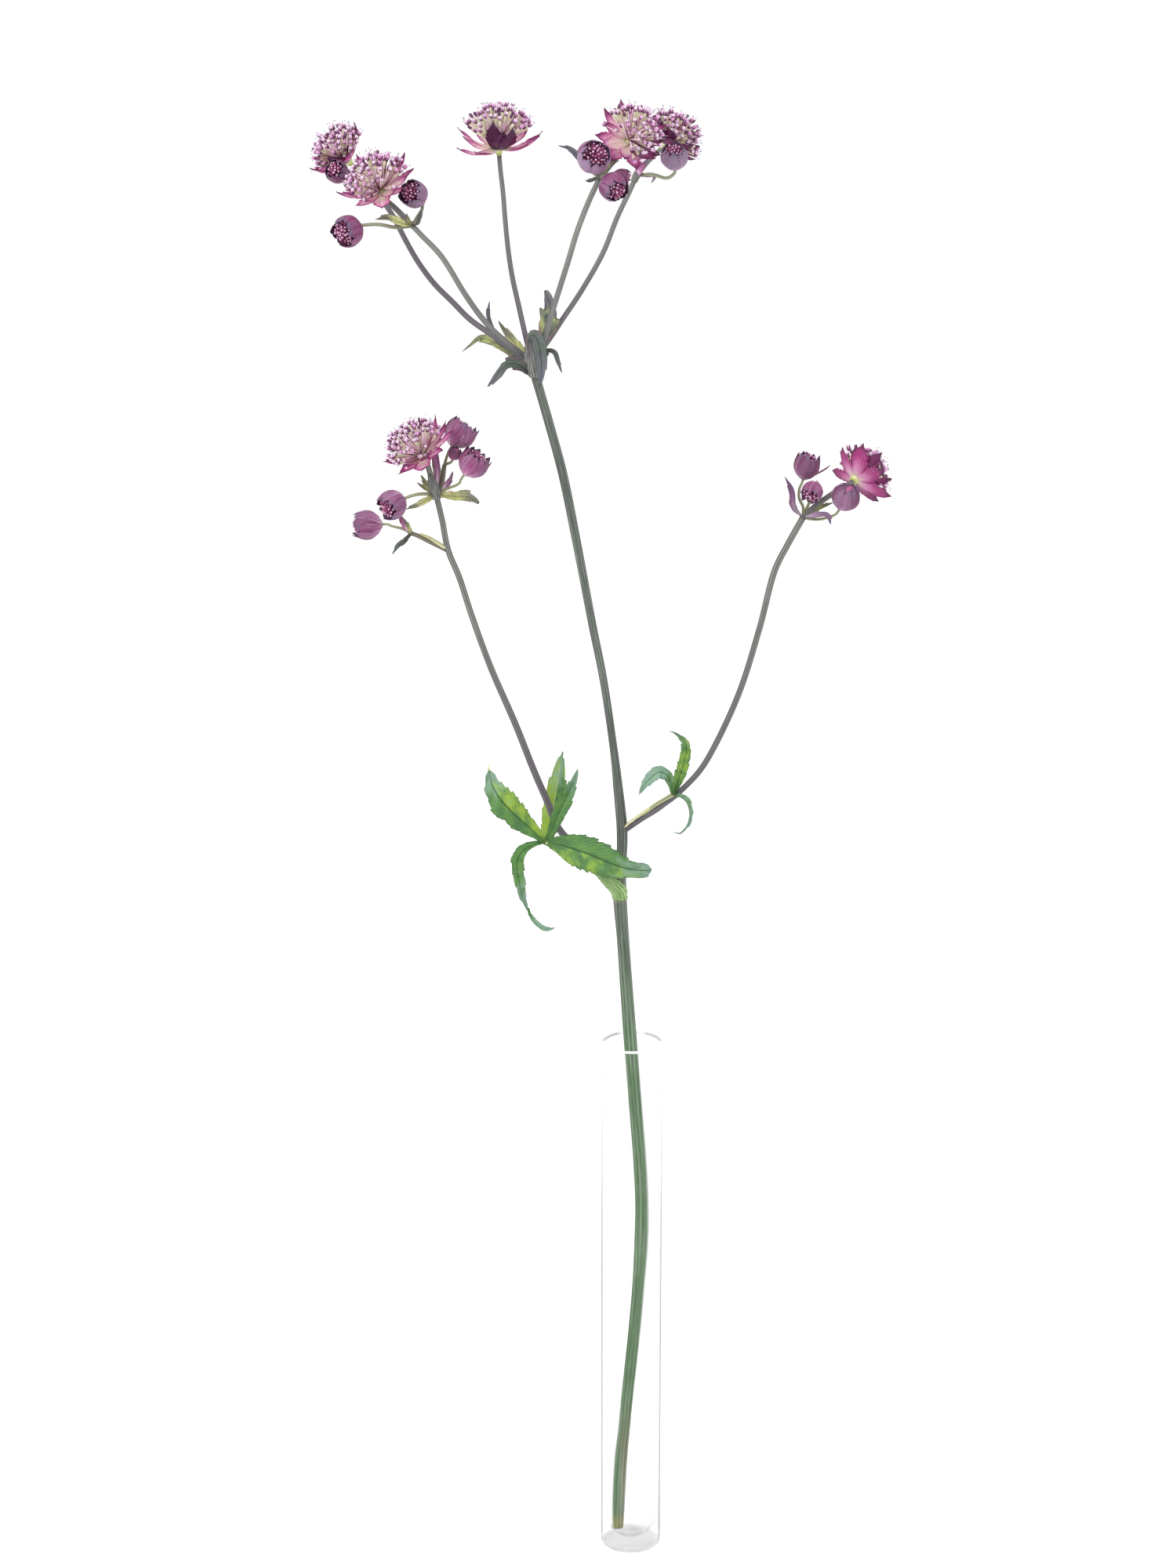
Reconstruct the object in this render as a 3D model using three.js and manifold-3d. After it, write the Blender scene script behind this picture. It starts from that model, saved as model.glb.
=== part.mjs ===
// A cut stem of masterwort (Astrantia) standing in a narrow clear glass tube vase.
// Millimetres, +Z up. The origin is the centre of the vase's foot, on the surface that it stands on.
// +X is to the right and +Y is away from someone who looks at the front.
// Points along stems and leaves are chosen by hand, from the root of each piece to its tip.

import * as THREE from 'three';
import { mergeVertices } from 'three/addons/utils/BufferGeometryUtils.js';
import Module from 'manifold-3d';

const manifold = await Module();
manifold.setup();

// Driving dimensions

const VASE_HEIGHT = 226;
const VASE_RADIUS = 12.5;
const VASE_WALL = 1.6;
const VASE_BOWL_CENTRE = 14;   // height of the centre of the round inner bottom
const VASE_FOOT_ROUND = 2;
const VASE_RIM_ROUND = 0.6;
const VASE_SIDES = 28;

const GAP = 0.3;               // between two pieces that touch
const BLADE = 0.6;             // thickness of leaves and bracts

const MAIN_SIDES = 8;
const BRANCH_SIDES = 6;
const STALK_SIDES = 4;

const CUP_RADIUS = 2.4;        // the small base that carries a bloom's ring of bracts
const CUP_HEIGHT = 1.7;
const CUP_LIP = 1.1;
const BRACT_FILL = 0.9;        // part of the ring that the bracts fill where they are widest
const FLORETS = 22;
const FLORET_SPREAD = 47;      // degrees from the axis to the outermost florets
const FLORET_RADIUS = 1.5;
const GOLDEN_ANGLE = 137.508;

const BUD_SCALES = 7;

// The main stem, from its cut end up to the top junction: x, y, z, radius

const JUNCTION = [-39.7, -4, 506];
const NODE_LOW = [-5.2, 8, 288];
const NODE_HIGH = [-4.3, 8, 313];

const MAIN_STEM = [
  [-5.4, -2.4, 7.6, 2.2], [-5.2, -2.2, 16, 2.6], [-4.9, -1.8, 25, 2.7], [-4.1, -1, 40, 2.7],
  [-3, -0.3, 51, 2.5], [-1.6, 0.4, 67, 2.5], [1.2, 1.8, 95, 2.55], [3, 2.8, 117, 2.6],
  [4.1, 3.8, 137, 2.9], [4.2, 4.6, 154, 2.8], [3.3, 5.4, 172, 2.75], [1.2, 6.6, 199, 2.7],
  [-0.9, 7.6, 226, 2.7], [-3.8, 8, 267, 2.5], [...NODE_LOW, 2.7], [-4.7, 8, 297, 2.1],
  [...NODE_HIGH, 2.2], [-6.1, 7, 333, 1.9], [-7.6, 6, 347, 1.6], [-12, 4, 378, 1.55],
  [-16.2, 2, 400, 1.6], [-22, -1, 432, 1.7], [-27.8, -3, 462, 1.8], [-33, -4, 482, 1.75],
  [-38.2, -4, 500.5, 1.8], [...JUNCTION, 1.9],
];

// Side branches and the rays of the top umbel: points, radius at the root and at the tip

const NODE_LEFT = [-77.7, 12, 450.7];
const NODE_RIGHT = [65.1, -12, 446.8];
const NODE_TWIG = [-73.4, 18, 426.8];
const NODE_FRONT = [-83.9, -22, 560.9];
const NODE_BACK = [-98.3, 22, 565.5];
const NODE_MID = [-13.6, -18, 578.2];
const NODE_FAR = [0.7, 27, 573.3];

const LEFT_BRANCH = [
  NODE_LOW, [-16, 16, 297], [-29.8, 20, 310.5], [-34.6, 21, 322], [-39.5, 22, 333.5],
  [-47.3, 24, 353.5], [-57.2, 24, 377.5], [-64.6, 22, 399.5], [-69.1, 20, 415],
  NODE_TWIG, [-75.6, 15, 440], NODE_LEFT,
];
const RIGHT_BRANCH = [
  NODE_HIGH, [9.3, 2, 324.5], [16.4, -2, 331], [25.9, -8, 343], [32, -12, 355],
  [41.3, -18, 379], [48.6, -20, 405], [54.3, -18, 427.5], [59.4, -16, 437.5], NODE_RIGHT,
];
const RAY_BACK = [
  JUNCTION, [-43.9, -3, 508.5], [-54.6, 1, 515.4], [-63.5, 5, 521], [-70.2, 9, 527],
  [-77.4, 13, 533.5], [-83.7, 17, 541.3], [-88.1, 19, 548.6], [-93.9, 21, 559.4], NODE_BACK,
];
const RAY_FRONT = [
  JUNCTION, [-43.4, -6, 509.3], [-49.5, -9, 514.8], [-55.1, -12, 520.6], [-59.8, -14.5, 526.8],
  [-64.9, -17, 534.8], [-73.3, -20, 549.2], [-80.5, -22, 557.3], NODE_FRONT,
];
const RAY_CENTRE = [
  JUNCTION, [-42.4, -2, 517.5], [-44.6, 2, 526.6], [-47, 5, 536.9], [-48.6, 7, 546.2],
  [-49.7, 8, 556.9], [-50.1, 9, 570],
];
const RAY_MID = [
  JUNCTION, [-35.1, -9, 515.5], [-31.3, -13, 528], [-25.4, -17, 547.2], [-22.2, -19, 558.1],
  [-17.5, -19, 570.2], NODE_MID,
];
const RAY_FAR = [
  JUNCTION, [-33.1, 1, 513.7], [-28.8, 5, 519.6], [-20.2, 13, 531.3], [-12, 20, 544.8],
  [-6.6, 24, 557.8], [-1.2, 26, 568.9], NODE_FAR,
];
const TWIG_END = [-88, 20, 433.2];
const TWIG = [NODE_TWIG, [-79.9, 19, 429.7], [-85.2, 20, 432.1], TWIG_END];
const LEFT_FORK = [-74.4, 16, 461.6];

const BRANCHES = [
  { points: LEFT_BRANCH, root: 1.5, tip: 1.15 },
  { points: RIGHT_BRANCH, root: 1.25, tip: 1.25 },
  { points: RAY_BACK, root: 1.15, tip: 1 },
  { points: RAY_FRONT, root: 1.15, tip: 1 },
  { points: RAY_CENTRE, root: 1.05, tip: 0.95 },
  { points: RAY_MID, root: 1.1, tip: 1.05 },
  { points: RAY_FAR, root: 1.05, tip: 1 },
  { points: TWIG, root: 1.1, tip: 0.85 },
  { points: [TWIG_END, [-90.3, 20, 437], [-91.6, 19, 440]], root: 0.9, tip: 0.9 },
  { points: [NODE_LEFT, [-75.6, 14, 454.7], LEFT_FORK], root: 1, tip: 0.8 },
];

// Open blooms: where the stalk meets the cup, the way the bloom faces, the stalk that leads there,
// the bracts' length and lift above the cup's plane, and the length of the florets' rays

const BLOOMS = [
  { name: 'bloom_back_left', base: [-110, 25, 578.5], axis: [-0.62, -0.3, 0.72], turn: 8, bracts: 14,
    reach: 14.5, lift: 24, rays: 15.5, from: [NODE_BACK, [-103.7, 24, 571.3]], radius: 0.85 },
  { name: 'bloom_front_left', base: [-95.6, -17, 572.6], axis: [-0.26, -0.56, 0.78], turn: 0, bracts: 16,
    reach: 16, lift: 26, rays: 15.5, from: [NODE_FRONT, [-90, -19.6, 566.8]], radius: 0.95 },
  { name: 'bloom_centre', base: [-52, 9, 584.5], axis: [-0.02, -0.1, 1], turn: 14, bracts: 15,
    reach: 17, lift: 22, rays: 16.5, from: [[-50.1, 9, 570]], radius: 0.95 },
  { name: 'bloom_front_right', base: [-2.6, -10, 590.6], axis: [0.16, -0.8, 0.56], turn: 5, bracts: 15,
    reach: 15.5, lift: 24, rays: 15.5, from: [NODE_MID, [-9.6, -15, 582.7]], radius: 0.95 },
  { name: 'bloom_back_right', base: [11, 29, 584], axis: [0.72, 0.1, 0.68], turn: 20, bracts: 14,
    reach: 14, lift: 24, rays: 15, from: [NODE_FAR, [5, 28, 578.4]], radius: 0.9 },
  { name: 'bloom_side_left', base: [-82.2, 8, 466], axis: [-0.46, -0.42, 0.78], turn: 10, bracts: 14,
    reach: 15, lift: 24, rays: 15.5, from: [NODE_LEFT, [-79.6, 10, 458.6]], radius: 1.05 },
  { name: 'bloom_side_right', base: [84.6, -6.5, 460], axis: [0.6, 0.72, 0.34], turn: 0, bracts: 13,
    reach: 15, lift: 28, rays: 14.5, from: [NODE_RIGHT, [69.4, -10, 450.4], [77.8, -8, 456.1]], radius: 1 },
];

// Buds: the base, the way the mouth faces, half the width, the length, and the stalk that leads there

const BUDS = [
  { name: 'bud_1', base: [-104.2, -24.1, 560.7], axis: [-0.6, -0.78, -0.15], width: 6, length: 11.5,
    from: [NODE_FRONT, [-90.3, -24, 560.6], [-96.5, -23.4, 561.6]] },
  { name: 'bud_2', base: [-81.2, -14.3, 569.8], axis: [-0.35, -0.78, 0.42], width: 5.2, length: 11.5,
    from: [NODE_FRONT, [-82.2, -19.4, 563.6], [-80.4, -14.8, 566.4]] },
  { name: 'bud_3', base: [-112, 7.8, 575.2], axis: [-0.3, -0.75, 0.5], width: 4.4, length: 9.5,
    from: [NODE_BACK, [-105.5, 16, 567.4], [-110.5, 11.4, 570.6]] },
  { name: 'bud_4', base: [-17.8, -23.4, 584.7], axis: [0.35, -0.8, 0.45], width: 6.4, length: 11,
    from: [NODE_MID, [-16.2, -19.6, 580.8]] },
  { name: 'bud_5', base: [-11, -23.3, 579.1], axis: [0.45, -0.72, -0.5], width: 5.6, length: 11,
    from: [NODE_MID, [-12.8, -20.4, 579.4]] },
  { name: 'bud_6', base: [15.3, 12.8, 577.9], axis: [-0.05, -0.5, 0.85], width: 5.2, length: 11,
    from: [NODE_FAR, [6.8, 21, 574.4], [12.6, 15.8, 573.8]] },
  { name: 'bud_7', base: [-71.4, 16, 469], axis: [0.55, 0.15, 0.83], width: 6.3, length: 12.5,
    from: [LEFT_FORK, [-73.4, 16, 465]] },
  { name: 'bud_8', base: [-66.3, 9, 459.2], axis: [0.6, -0.1, 0.78], width: 6, length: 12,
    from: [NODE_LEFT, [-73.3, 10, 453.3], [-68.4, 9, 455.7]] },
  { name: 'bud_9', base: [-71, 12.6, 464.5], axis: [0.3, -0.3, 0.9], width: 2.6, length: 5.5,
    from: [LEFT_FORK] },
  { name: 'bud_10', base: [-90.1, 6.6, 450], axis: [-0.75, -0.6, -0.25], width: 5.9, length: 11.5,
    from: [NODE_LEFT, [-84.3, 9, 451.4]] },
  { name: 'bud_11', base: [-99.4, 20, 436.8], axis: [-1, -0.1, 0], width: 5.9, length: 12.5,
    from: [TWIG_END, [-91.3, 20, 435], [-95.6, 20, 436.1]] },
  { name: 'bud_12', base: [65, -10, 461.4], axis: [0.25, -0.05, 0.97], width: 5, length: 11.5,
    from: [NODE_RIGHT, [65.2, -11, 450.6], [63.6, -10, 454], [63.8, -10, 458.3]] },
  { name: 'bud_13', base: [70, -14, 461], axis: [-0.4, -0.6, -0.7], width: 4.2, length: 8.5,
    from: [NODE_RIGHT, [67.6, -13.4, 452], [70.6, -11.6, 458]] },
  { name: 'bud_14', base: [79.2, -12, 450.2], axis: [0.4, -0.25, 0.88], width: 5.6, length: 11.5,
    from: [NODE_RIGHT, [70.4, -12, 446], [75, -12, 446.8], [77.6, -12, 447.9]] },
  { name: 'bud_15', base: [-9, -19.4, 579.2], axis: [0.97, -0.1, 0], width: 2.6, length: 7.5,
    from: [NODE_MID] },
];

// Leaf lobes: the midrib from base to tip, the way the upper face looks at base and tip, half the
// width, teeth on each side, how far the two halves fold up, and where along it is widest

const LEAF_HUB = [-35.2, 0, 311];
const RIGHT_HUB = [16, -4, 332.4];

const LEFT_LEAF = {
  name: 'leaf_left',
  stalk: { points: [[-9.6, 3.6, 290.5], [-14, 1.6, 298], [-23, 1, 305.5], LEAF_HUB], root: 1.3, tip: 1 },
  lobes: [
    { points: [LEAF_HUB, [-39, -1, 315.5], [-45, -3, 321.5], [-50, -5, 327.3], [-53.4, -6, 331.8],
      [-55.8, -6, 336], [-57.2, -4, 340.6], [-57.1, -1, 344]],
      face: [[0.2, -1, 0.3], [0.3, -1, -0.1]], half: 5.6, teeth: 7, fold: 12, widest: 0.5 },
    { points: [LEAF_HUB, [-33.6, 10, 313.4], [-31.6, 23, 322], [-30.4, 27, 328], [-29, 29, 337],
      [-28.2, 29, 340.5]],
      face: [[0, -0.7, 0.7], [0, -1, 0]], half: 4.8, teeth: 4, fold: -22, widest: 0.6 },
    { points: [LEAF_HUB, [-32.6, 3.5, 315], [-30, 7.5, 320.4], [-26.6, 10, 327], [-24, 11, 333],
      [-22, 12, 338.2]],
      face: [[0, -1, 0.2], [0.1, -1, 0]], half: 3.3, teeth: 3, fold: 26, widest: 0.5 },
    { points: [LEAF_HUB, [-30, -2.4, 311], [-25, -4, 310], [-17.5, -6, 308], [-10, -7, 305],
      [-3.6, -7, 302.6], [4, -5.5, 301], [7.4, -4, 300.6]],
      face: [[0, -1, 0.35], [0, -1, 0.2]], half: 7.2, teeth: 8, fold: 10, widest: 0.42 },
    { points: [LEAF_HUB, [-40, -3, 311], [-44, -5, 309], [-46.2, -6, 305.5], [-46.2, -6, 301],
      [-45.5, -6, 296], [-44.6, -5, 290.5], [-42.6, -4, 285], [-41, -4, 281], [-37.6, -5, 277.3],
      [-34, -6, 276.4], [-31.3, -6, 277]],
      face: [[0, -0.4, 1], [0.5, -1, 0]], half: 2.5, teeth: 6, fold: 20, widest: 0.4 },
  ],
};

const RIGHT_LEAF = {
  name: 'leaf_right',
  stalk: { points: [[5.6, 2.4, 324.6], [8.6, 0.6, 326.6], [12.4, -2, 329.8], RIGHT_HUB],
    root: 0.9, tip: 0.9 },
  lobes: [
    { points: [RIGHT_HUB, [18.4, -1, 338.5], [20.1, 0.5, 343.5], [21.1, 1.5, 348], [20.8, 2, 352],
      [17.3, 1, 356], [14.3, 0, 357.4]],
      face: [[-0.3, -1, 0.2], [-0.5, -1, -0.2]], half: 2.7, teeth: 5, fold: 18, widest: 0.36 },
    { points: [RIGHT_HUB, [15, -6, 337], [13.6, -8, 341.2], [10.4, -9, 343.2], [7.2, -9, 341],
      [4.8, -8, 338], [2.2, -7, 333.2]],
      face: [[-0.6, -1, 0.1], [-0.2, -1, 0.5]], half: 2.6, teeth: 5, fold: 16, widest: 0.55 },
    { points: [RIGHT_HUB, [19.4, -7.4, 332], [21.2, -8.6, 330.6], [22.2, -9, 327.6], [22.4, -9, 324.6],
      [21.6, -9, 321.8], [20, -8, 319], [18.2, -8, 317.4], [16, -8, 318]],
      face: [[0.2, -0.6, 1], [1, -0.6, 0.1]], half: 1.9, teeth: 4, fold: 22, widest: 0.3 },
  ],
};

// Small leaves round the top junction, each on its own

const JUNCTION_LEAVES = [
  { name: 'junction_leaf_1', points: [[-37.9, -5.7, 501], [-38.9, -8.6, 508.6], [-39.2, -11, 517.6],
    [-37.4, -13.4, 516.6], [-36, -14.6, 510], [-35.8, -14.2, 504], [-36.6, -13, 497.6]],
    face: [[0, -0.6, 0.8], [0.1, -1, 0.1]], half: 2.7, teeth: 3, fold: 14, widest: 0.6 },
  { name: 'junction_leaf_2', points: [[-36.8, -4.2, 502.4], [-33.6, -7.4, 510.6], [-31, -9.6, 510.6],
    [-29.4, -10.4, 507], [-27.9, -10.6, 503]],
    face: [[0, -0.7, 0.8], [0.8, -1, 0.2]], half: 1.4, teeth: 2, fold: 16, widest: 0.5 },
  { name: 'junction_leaf_3', points: [[-37.6, 0.2, 508.2], [-35, 1.4, 515.2], [-33, 2.4, 521],
    [-32.8, 3.4, 527], [-34.4, 4.4, 532.4]],
    face: [[-0.1, -1, 0.1], [-0.1, -1, 0.1]], half: 3.5, teeth: 3, fold: 20, widest: 0.4 },
  { name: 'junction_leaf_4', points: [[-40.3, -5.3, 501.8], [-45.6, -10.4, 506.6], [-49.8, -13, 506],
    [-52.7, -14, 502.6], [-56, -15, 498.6]],
    face: [[0, -1, 0.7], [-0.4, -1, 0.5]], half: 2.2, teeth: 3, fold: 14, widest: 0.45 },
  { name: 'junction_leaf_5', points: [[-40.6, -3.2, 502.4], [-48.4, 7, 508], [-54, 11, 511],
    [-60, 13, 512], [-63.7, 13, 509.5], [-66.9, 13, 507]],
    face: [[-0.2, -0.7, 0.8], [-0.4, -1, 0.4]], half: 2.4, teeth: 3, fold: 18, widest: 0.42 },
];

// Small bracts that grow from the stem at its nodes

const NODE_BRACTS = [
  { points: [NODE_FRONT, [-88, -25.6, 562.4], [-92.8, -27, 564.6], [-97.6, -27.4, 564]],
    face: [0, -1, 0.8], half: 1.9 },
  { points: [NODE_FRONT, [-82, -24.4, 562.6], [-80, -24.6, 568.2]], face: [0.8, -1, 0], half: 1.2 },
  { points: [NODE_FRONT, [-85, -24.2, 563], [-86, -24.6, 566]], face: [0, -1, 0], half: 0.8 },
  { points: [NODE_MID, [-12.4, -15.4, 582], [-9, -13.8, 587.2]], face: [0.3, 1, 0.2], half: 1.5 },
  { points: [NODE_MID, [-17.4, -16, 576.8], [-19.2, -15.4, 577]], face: [0, -1, 1], half: 1.2 },
  { points: [NODE_MID, [-10.6, -17.2, 582], [-6.4, -16.6, 584.6]], face: [0.2, -0.4, 1], half: 1.3 },
  { points: [NODE_FAR, [2, 24.4, 575.6], [5, 24, 580]], face: [-0.6, -1, 0], half: 1.8 },
  { points: [NODE_FAR, [4, 24, 573.6], [7.6, 22.4, 573.4], [6.4, 21.8, 571]], face: [0, -1, 1], half: 1.3 },
  { points: [NODE_LEFT, [-81, 12, 454.6], [-83.6, 12, 458.4]], face: [-0.4, -1, 0.2], half: 1.5 },
  { points: [NODE_LEFT, [-82, 13.4, 452.6], [-85.2, 14, 455]], face: [0, -0.6, 1], half: 1.3 },
  { points: [NODE_LEFT, [-83, 5.4, 448.6], [-89.3, 3, 446.6]], face: [0, -1, 0.8], half: 1.9 },
  { points: [NODE_LEFT, [-73, 14.4, 455], [-71, 13, 459.6]], face: [0.4, -1, 0.1], half: 1.5 },
  { points: [NODE_LEFT, [-70.6, 7.6, 450.8], [-65, 5.6, 451.6], [-61, 5, 450.6]],
    face: [0, -1, 0.8], half: 2.5 },
  { points: [NODE_LEFT, [-77, 16.4, 458], [-78.8, 17, 466.4]], face: [-0.6, -1, 0.2], half: 1.7 },
  { points: [NODE_RIGHT, [61.6, -13.6, 452], [61.2, -14, 458], [59.5, -14, 462]],
    face: [-0.9, -1, 0], half: 1.9 },
  { points: [NODE_RIGHT, [69, -15.6, 448], [74.2, -16.4, 448.4], [75.2, -16.6, 445.6]],
    face: [0, -0.6, 1], half: 2 },
  { points: [NODE_RIGHT, [71.4, -8.4, 449], [77.2, -6.6, 451]], face: [-0.1, -0.6, 1], half: 1.4 },
  { points: [TWIG_END, [-90.4, 17.4, 430.6], [-92.8, 16.4, 429], [-95.4, 15.6, 425.8]],
    face: [-0.6, -1, 0.5], half: 1.2 },
  { points: [TWIG_END, [-90.6, 17.6, 437.4], [-91.8, 17, 441]], face: [-0.8, -1, 0.2], half: 1.1 },
];

// Solids from points and triangles

const vec = ([x, y, z]) => new THREE.Vector3(x, y, z);
const unit = (list) => vec(list).normalize();
const radians = THREE.MathUtils.degToRad;

function solidFrom(points, faces) {
  const geometry = new THREE.BufferGeometry();
  geometry.setAttribute('position', new THREE.Float32BufferAttribute(points.flatMap((p) => p.toArray()), 3));
  geometry.setIndex(faces.flat());
  return solidFromGeometry(geometry);
}

function solidFromGeometry(source) {
  const bare = source.clone();
  bare.deleteAttribute('normal');
  bare.deleteAttribute('uv');
  const merged = mergeVertices(bare, 1e-5);
  const corners = merged.index.array;
  const kept = [];
  for (let i = 0; i < corners.length; i += 3) {
    const [a, b, c] = corners.slice(i, i + 3);
    if (a !== b && b !== c && c !== a) {
      kept.push(a, b, c);
    }
  }
  return new manifold.Manifold(new manifold.Mesh({
    numProp: 3,
    vertProperties: new Float32Array(merged.attributes.position.array),
    triVerts: new Uint32Array(kept),
  }));
}

function geometryFromSolid(solid) {
  const mesh = solid.getMesh();
  const geometry = new THREE.BufferGeometry();
  geometry.setAttribute('position', new THREE.Float32BufferAttribute(mesh.vertProperties, 3));
  geometry.setIndex([...mesh.triVerts]);
  geometry.computeVertexNormals();
  return geometry;
}

// Booleans can leave loose scraps: the largest piece is the part
function largest(solid) {
  const pieces = solid.decompose();
  return pieces.reduce((best, piece) => (piece.volume() > best.volume() ? piece : best));
}

function joined(solids) {
  return solids.reduce((sum, solid) => sum.add(solid));
}

// A round tapered tube through a list of points, with flat ends. radii holds one radius a point.

function tube(points, radii, sides) {
  const centres = points.map(vec);
  const last = centres.length - 1;
  const tangents = centres.map((p, i) => {
    const before = centres[Math.max(i - 1, 0)];
    const after = centres[Math.min(i + 1, last)];
    return after.clone().sub(before).normalize();
  });
  let side = new THREE.Vector3(0, 1, 0).cross(tangents[0]);
  if (side.length() < 0.1) {
    side = new THREE.Vector3(1, 0, 0);
  }
  const ring = [];
  centres.forEach((centre, i) => {
    side.addScaledVector(tangents[i], -side.dot(tangents[i])).normalize();
    const up = tangents[i].clone().cross(side);
    for (let k = 0; k < sides; k += 1) {
      const angle = (2 * Math.PI * k) / sides;
      ring.push(centre.clone()
        .addScaledVector(side, radii[i] * Math.cos(angle))
        .addScaledVector(up, radii[i] * Math.sin(angle)));
    }
  });
  const faces = [];
  for (let i = 0; i < last; i += 1) {
    for (let k = 0; k < sides; k += 1) {
      const a = i * sides + k;
      const b = i * sides + ((k + 1) % sides);
      faces.push([a, b, b + sides], [a, b + sides, a + sides]);
    }
  }
  for (let k = 1; k < sides - 1; k += 1) {
    faces.push([0, k + 1, k]);
    faces.push([last * sides, last * sides + k, last * sides + k + 1]);
  }
  return solidFrom(ring, faces);
}

// A tube that narrows to a point at the last of its points
const spike = (points, radii, sides) => tube(points, [...radii, 0], sides);

const taper = (count, root, tip) => Array.from({ length: count }, (_, i) => (
  root + ((tip - root) * i) / (count - 1)));

// A thin blade: rows of left edge, midrib and right edge, ending in a point.
// Both faces are split into triangles alike, so a waved blade doesn't cross itself.

function blade(rows) {
  const points = [];
  const index = rows.map((row, i) => {
    const isTip = i === rows.length - 1;
    const line = isTip ? [row.middle] : [row.left, row.middle, row.right];
    const top = line.map((p) => points.push(p.clone().add(row.offset)) - 1);
    const bottom = line.map((p) => points.push(p.clone().sub(row.offset)) - 1);
    return isTip ? { top: Array(3).fill(top[0]), bottom: Array(3).fill(bottom[0]) } : { top, bottom };
  });
  const faces = [];
  const quad = (a, b, c, d) => faces.push([a, b, c], [a, c, d]);
  const [first] = index;
  quad(first.top[0], first.bottom[0], first.bottom[1], first.top[1]);
  quad(first.top[1], first.bottom[1], first.bottom[2], first.top[2]);
  for (let i = 0; i + 1 < index.length; i += 1) {
    const [here, next] = [index[i], index[i + 1]];
    for (const k of [0, 1]) {
      faces.push([here.top[k], next.top[k + 1], next.top[k]],
        [here.top[k], here.top[k + 1], next.top[k + 1]]);
      faces.push([here.bottom[k], next.bottom[k], next.bottom[k + 1]],
        [here.bottom[k], next.bottom[k + 1], here.bottom[k + 1]]);
    }
    quad(here.top[0], next.top[0], next.bottom[0], here.bottom[0]);
    quad(here.top[2], here.bottom[2], next.bottom[2], next.top[2]);
  }
  const real = faces.filter(([a, b, c]) => a !== b && b !== c && c !== a);
  return solidFrom(points, real);
}

// One row of a blade at a point of its midrib

function bladeRow(middle, tangent, face, width, fold, push, thickness = BLADE) {
  const side = tangent.clone().cross(face).normalize();
  const normal = side.clone().cross(tangent).normalize();
  const angle = radians(fold);
  const edge = (sign) => middle.clone()
    .addScaledVector(side, sign * width * Math.cos(angle))
    .addScaledVector(normal, width * Math.sin(angle))
    .addScaledVector(tangent, push);
  return {
    left: edge(-1),
    middle,
    right: edge(1),
    offset: normal.clone().multiplyScalar(thickness / 2 / Math.cos(angle)),
  };
}

// A leaf lobe with a saw-toothed margin

const TOOTH_DEPTH = 0.24;      // part of the half width
const LOBE_ROOT = 0.9;         // half width where a lobe starts
const TOOTH_LEAN = 0.35;       // how far a tooth leans to the tip, in rows

function lobeWidth(s, half, widest) {
  const rise = s < widest ? s / widest : (1 - s) / (1 - widest);
  return LOBE_ROOT * (1 - s) + (half - LOBE_ROOT * (1 - s)) * Math.sin((rise * Math.PI) / 2) ** 1.1;
}

function lobe({ points, face, half, teeth, fold, widest }) {
  const curve = new THREE.CatmullRomCurve3(points.map(vec), false, 'centripetal');
  const count = 2 * teeth + 2;
  const rowLength = curve.getLength() / count;
  const rows = [];
  for (let i = 0; i <= count; i += 1) {
    const s = i / count;
    const look = unit(face[0]).lerp(unit(face[1]), s);
    const isTooth = i % 2 === 0 && i > 0;
    const width = lobeWidth(s, half, widest) * (isTooth || i === 0 ? 1 : 1 - TOOTH_DEPTH);
    const push = isTooth ? TOOTH_LEAN * rowLength : 0;
    rows.push(bladeRow(curve.getPointAt(s), curve.getTangentAt(s), look, width, fold, push));
  }
  return blade(rows);
}

// A small plain bract: root, widest point, shoulder and tip. extra makes a fatter copy.

const BRACT_STATIONS = [[0, 0.5], [0.4, 1], [0.75, 0.62], [1, 0]];
const BRACT_FOLD = 16;

function bract({ points, face, half }, extra) {
  const curve = new THREE.CatmullRomCurve3(points.map(vec), false, 'centripetal');
  const look = unit(face);
  return blade(BRACT_STATIONS.map(([s, share]) => {
    const tangent = curve.getTangentAt(s);
    const middle = curve.getPointAt(s).addScaledVector(tangent, s * extra);
    return bladeRow(middle, tangent, look, share * half + extra, BRACT_FOLD, 0, BLADE + 2 * extra);
  }));
}

// The frame of a bloom or bud: its axis and two directions across it

function frameOf(axis) {
  const up = unit(axis);
  const across = new THREE.Vector3(0, 1, 0).cross(up);
  if (across.length() < 0.2) {
    across.set(1, 0, 0);
  }
  across.addScaledVector(up, -across.dot(up)).normalize();
  return { up, across, beside: up.clone().cross(across) };
}

function outward(frame, angle) {
  return frame.across.clone().multiplyScalar(Math.cos(angle))
    .addScaledVector(frame.beside, Math.sin(angle));
}

// A round body turned from a profile of radius and height, standing at base along the frame's axis

function turned(profile, sides, base, frame) {
  const lathe = new THREE.LatheGeometry(profile.map(([r, h]) => new THREE.Vector2(r, h)), sides);
  lathe.applyMatrix4(new THREE.Matrix4().makeBasis(
    frame.across.clone(), frame.up.clone(), frame.across.clone().cross(frame.up)));
  lathe.translate(base.x, base.y, base.z);
  return solidFromGeometry(lathe);
}

// A bloom's ring of papery bracts round the small cup that carries them, as one star-shaped body.
// Each row of a bract is given by how far along it is, its share of the width and the fold of its edges.

const BRACT_ROWS = [[0.56, 1, 0.3], [0.84, 0.66, 0.2]];
const BRACT_BOW = 0.07;        // how far a bract's middle hangs below the straight line to its tip

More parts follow.
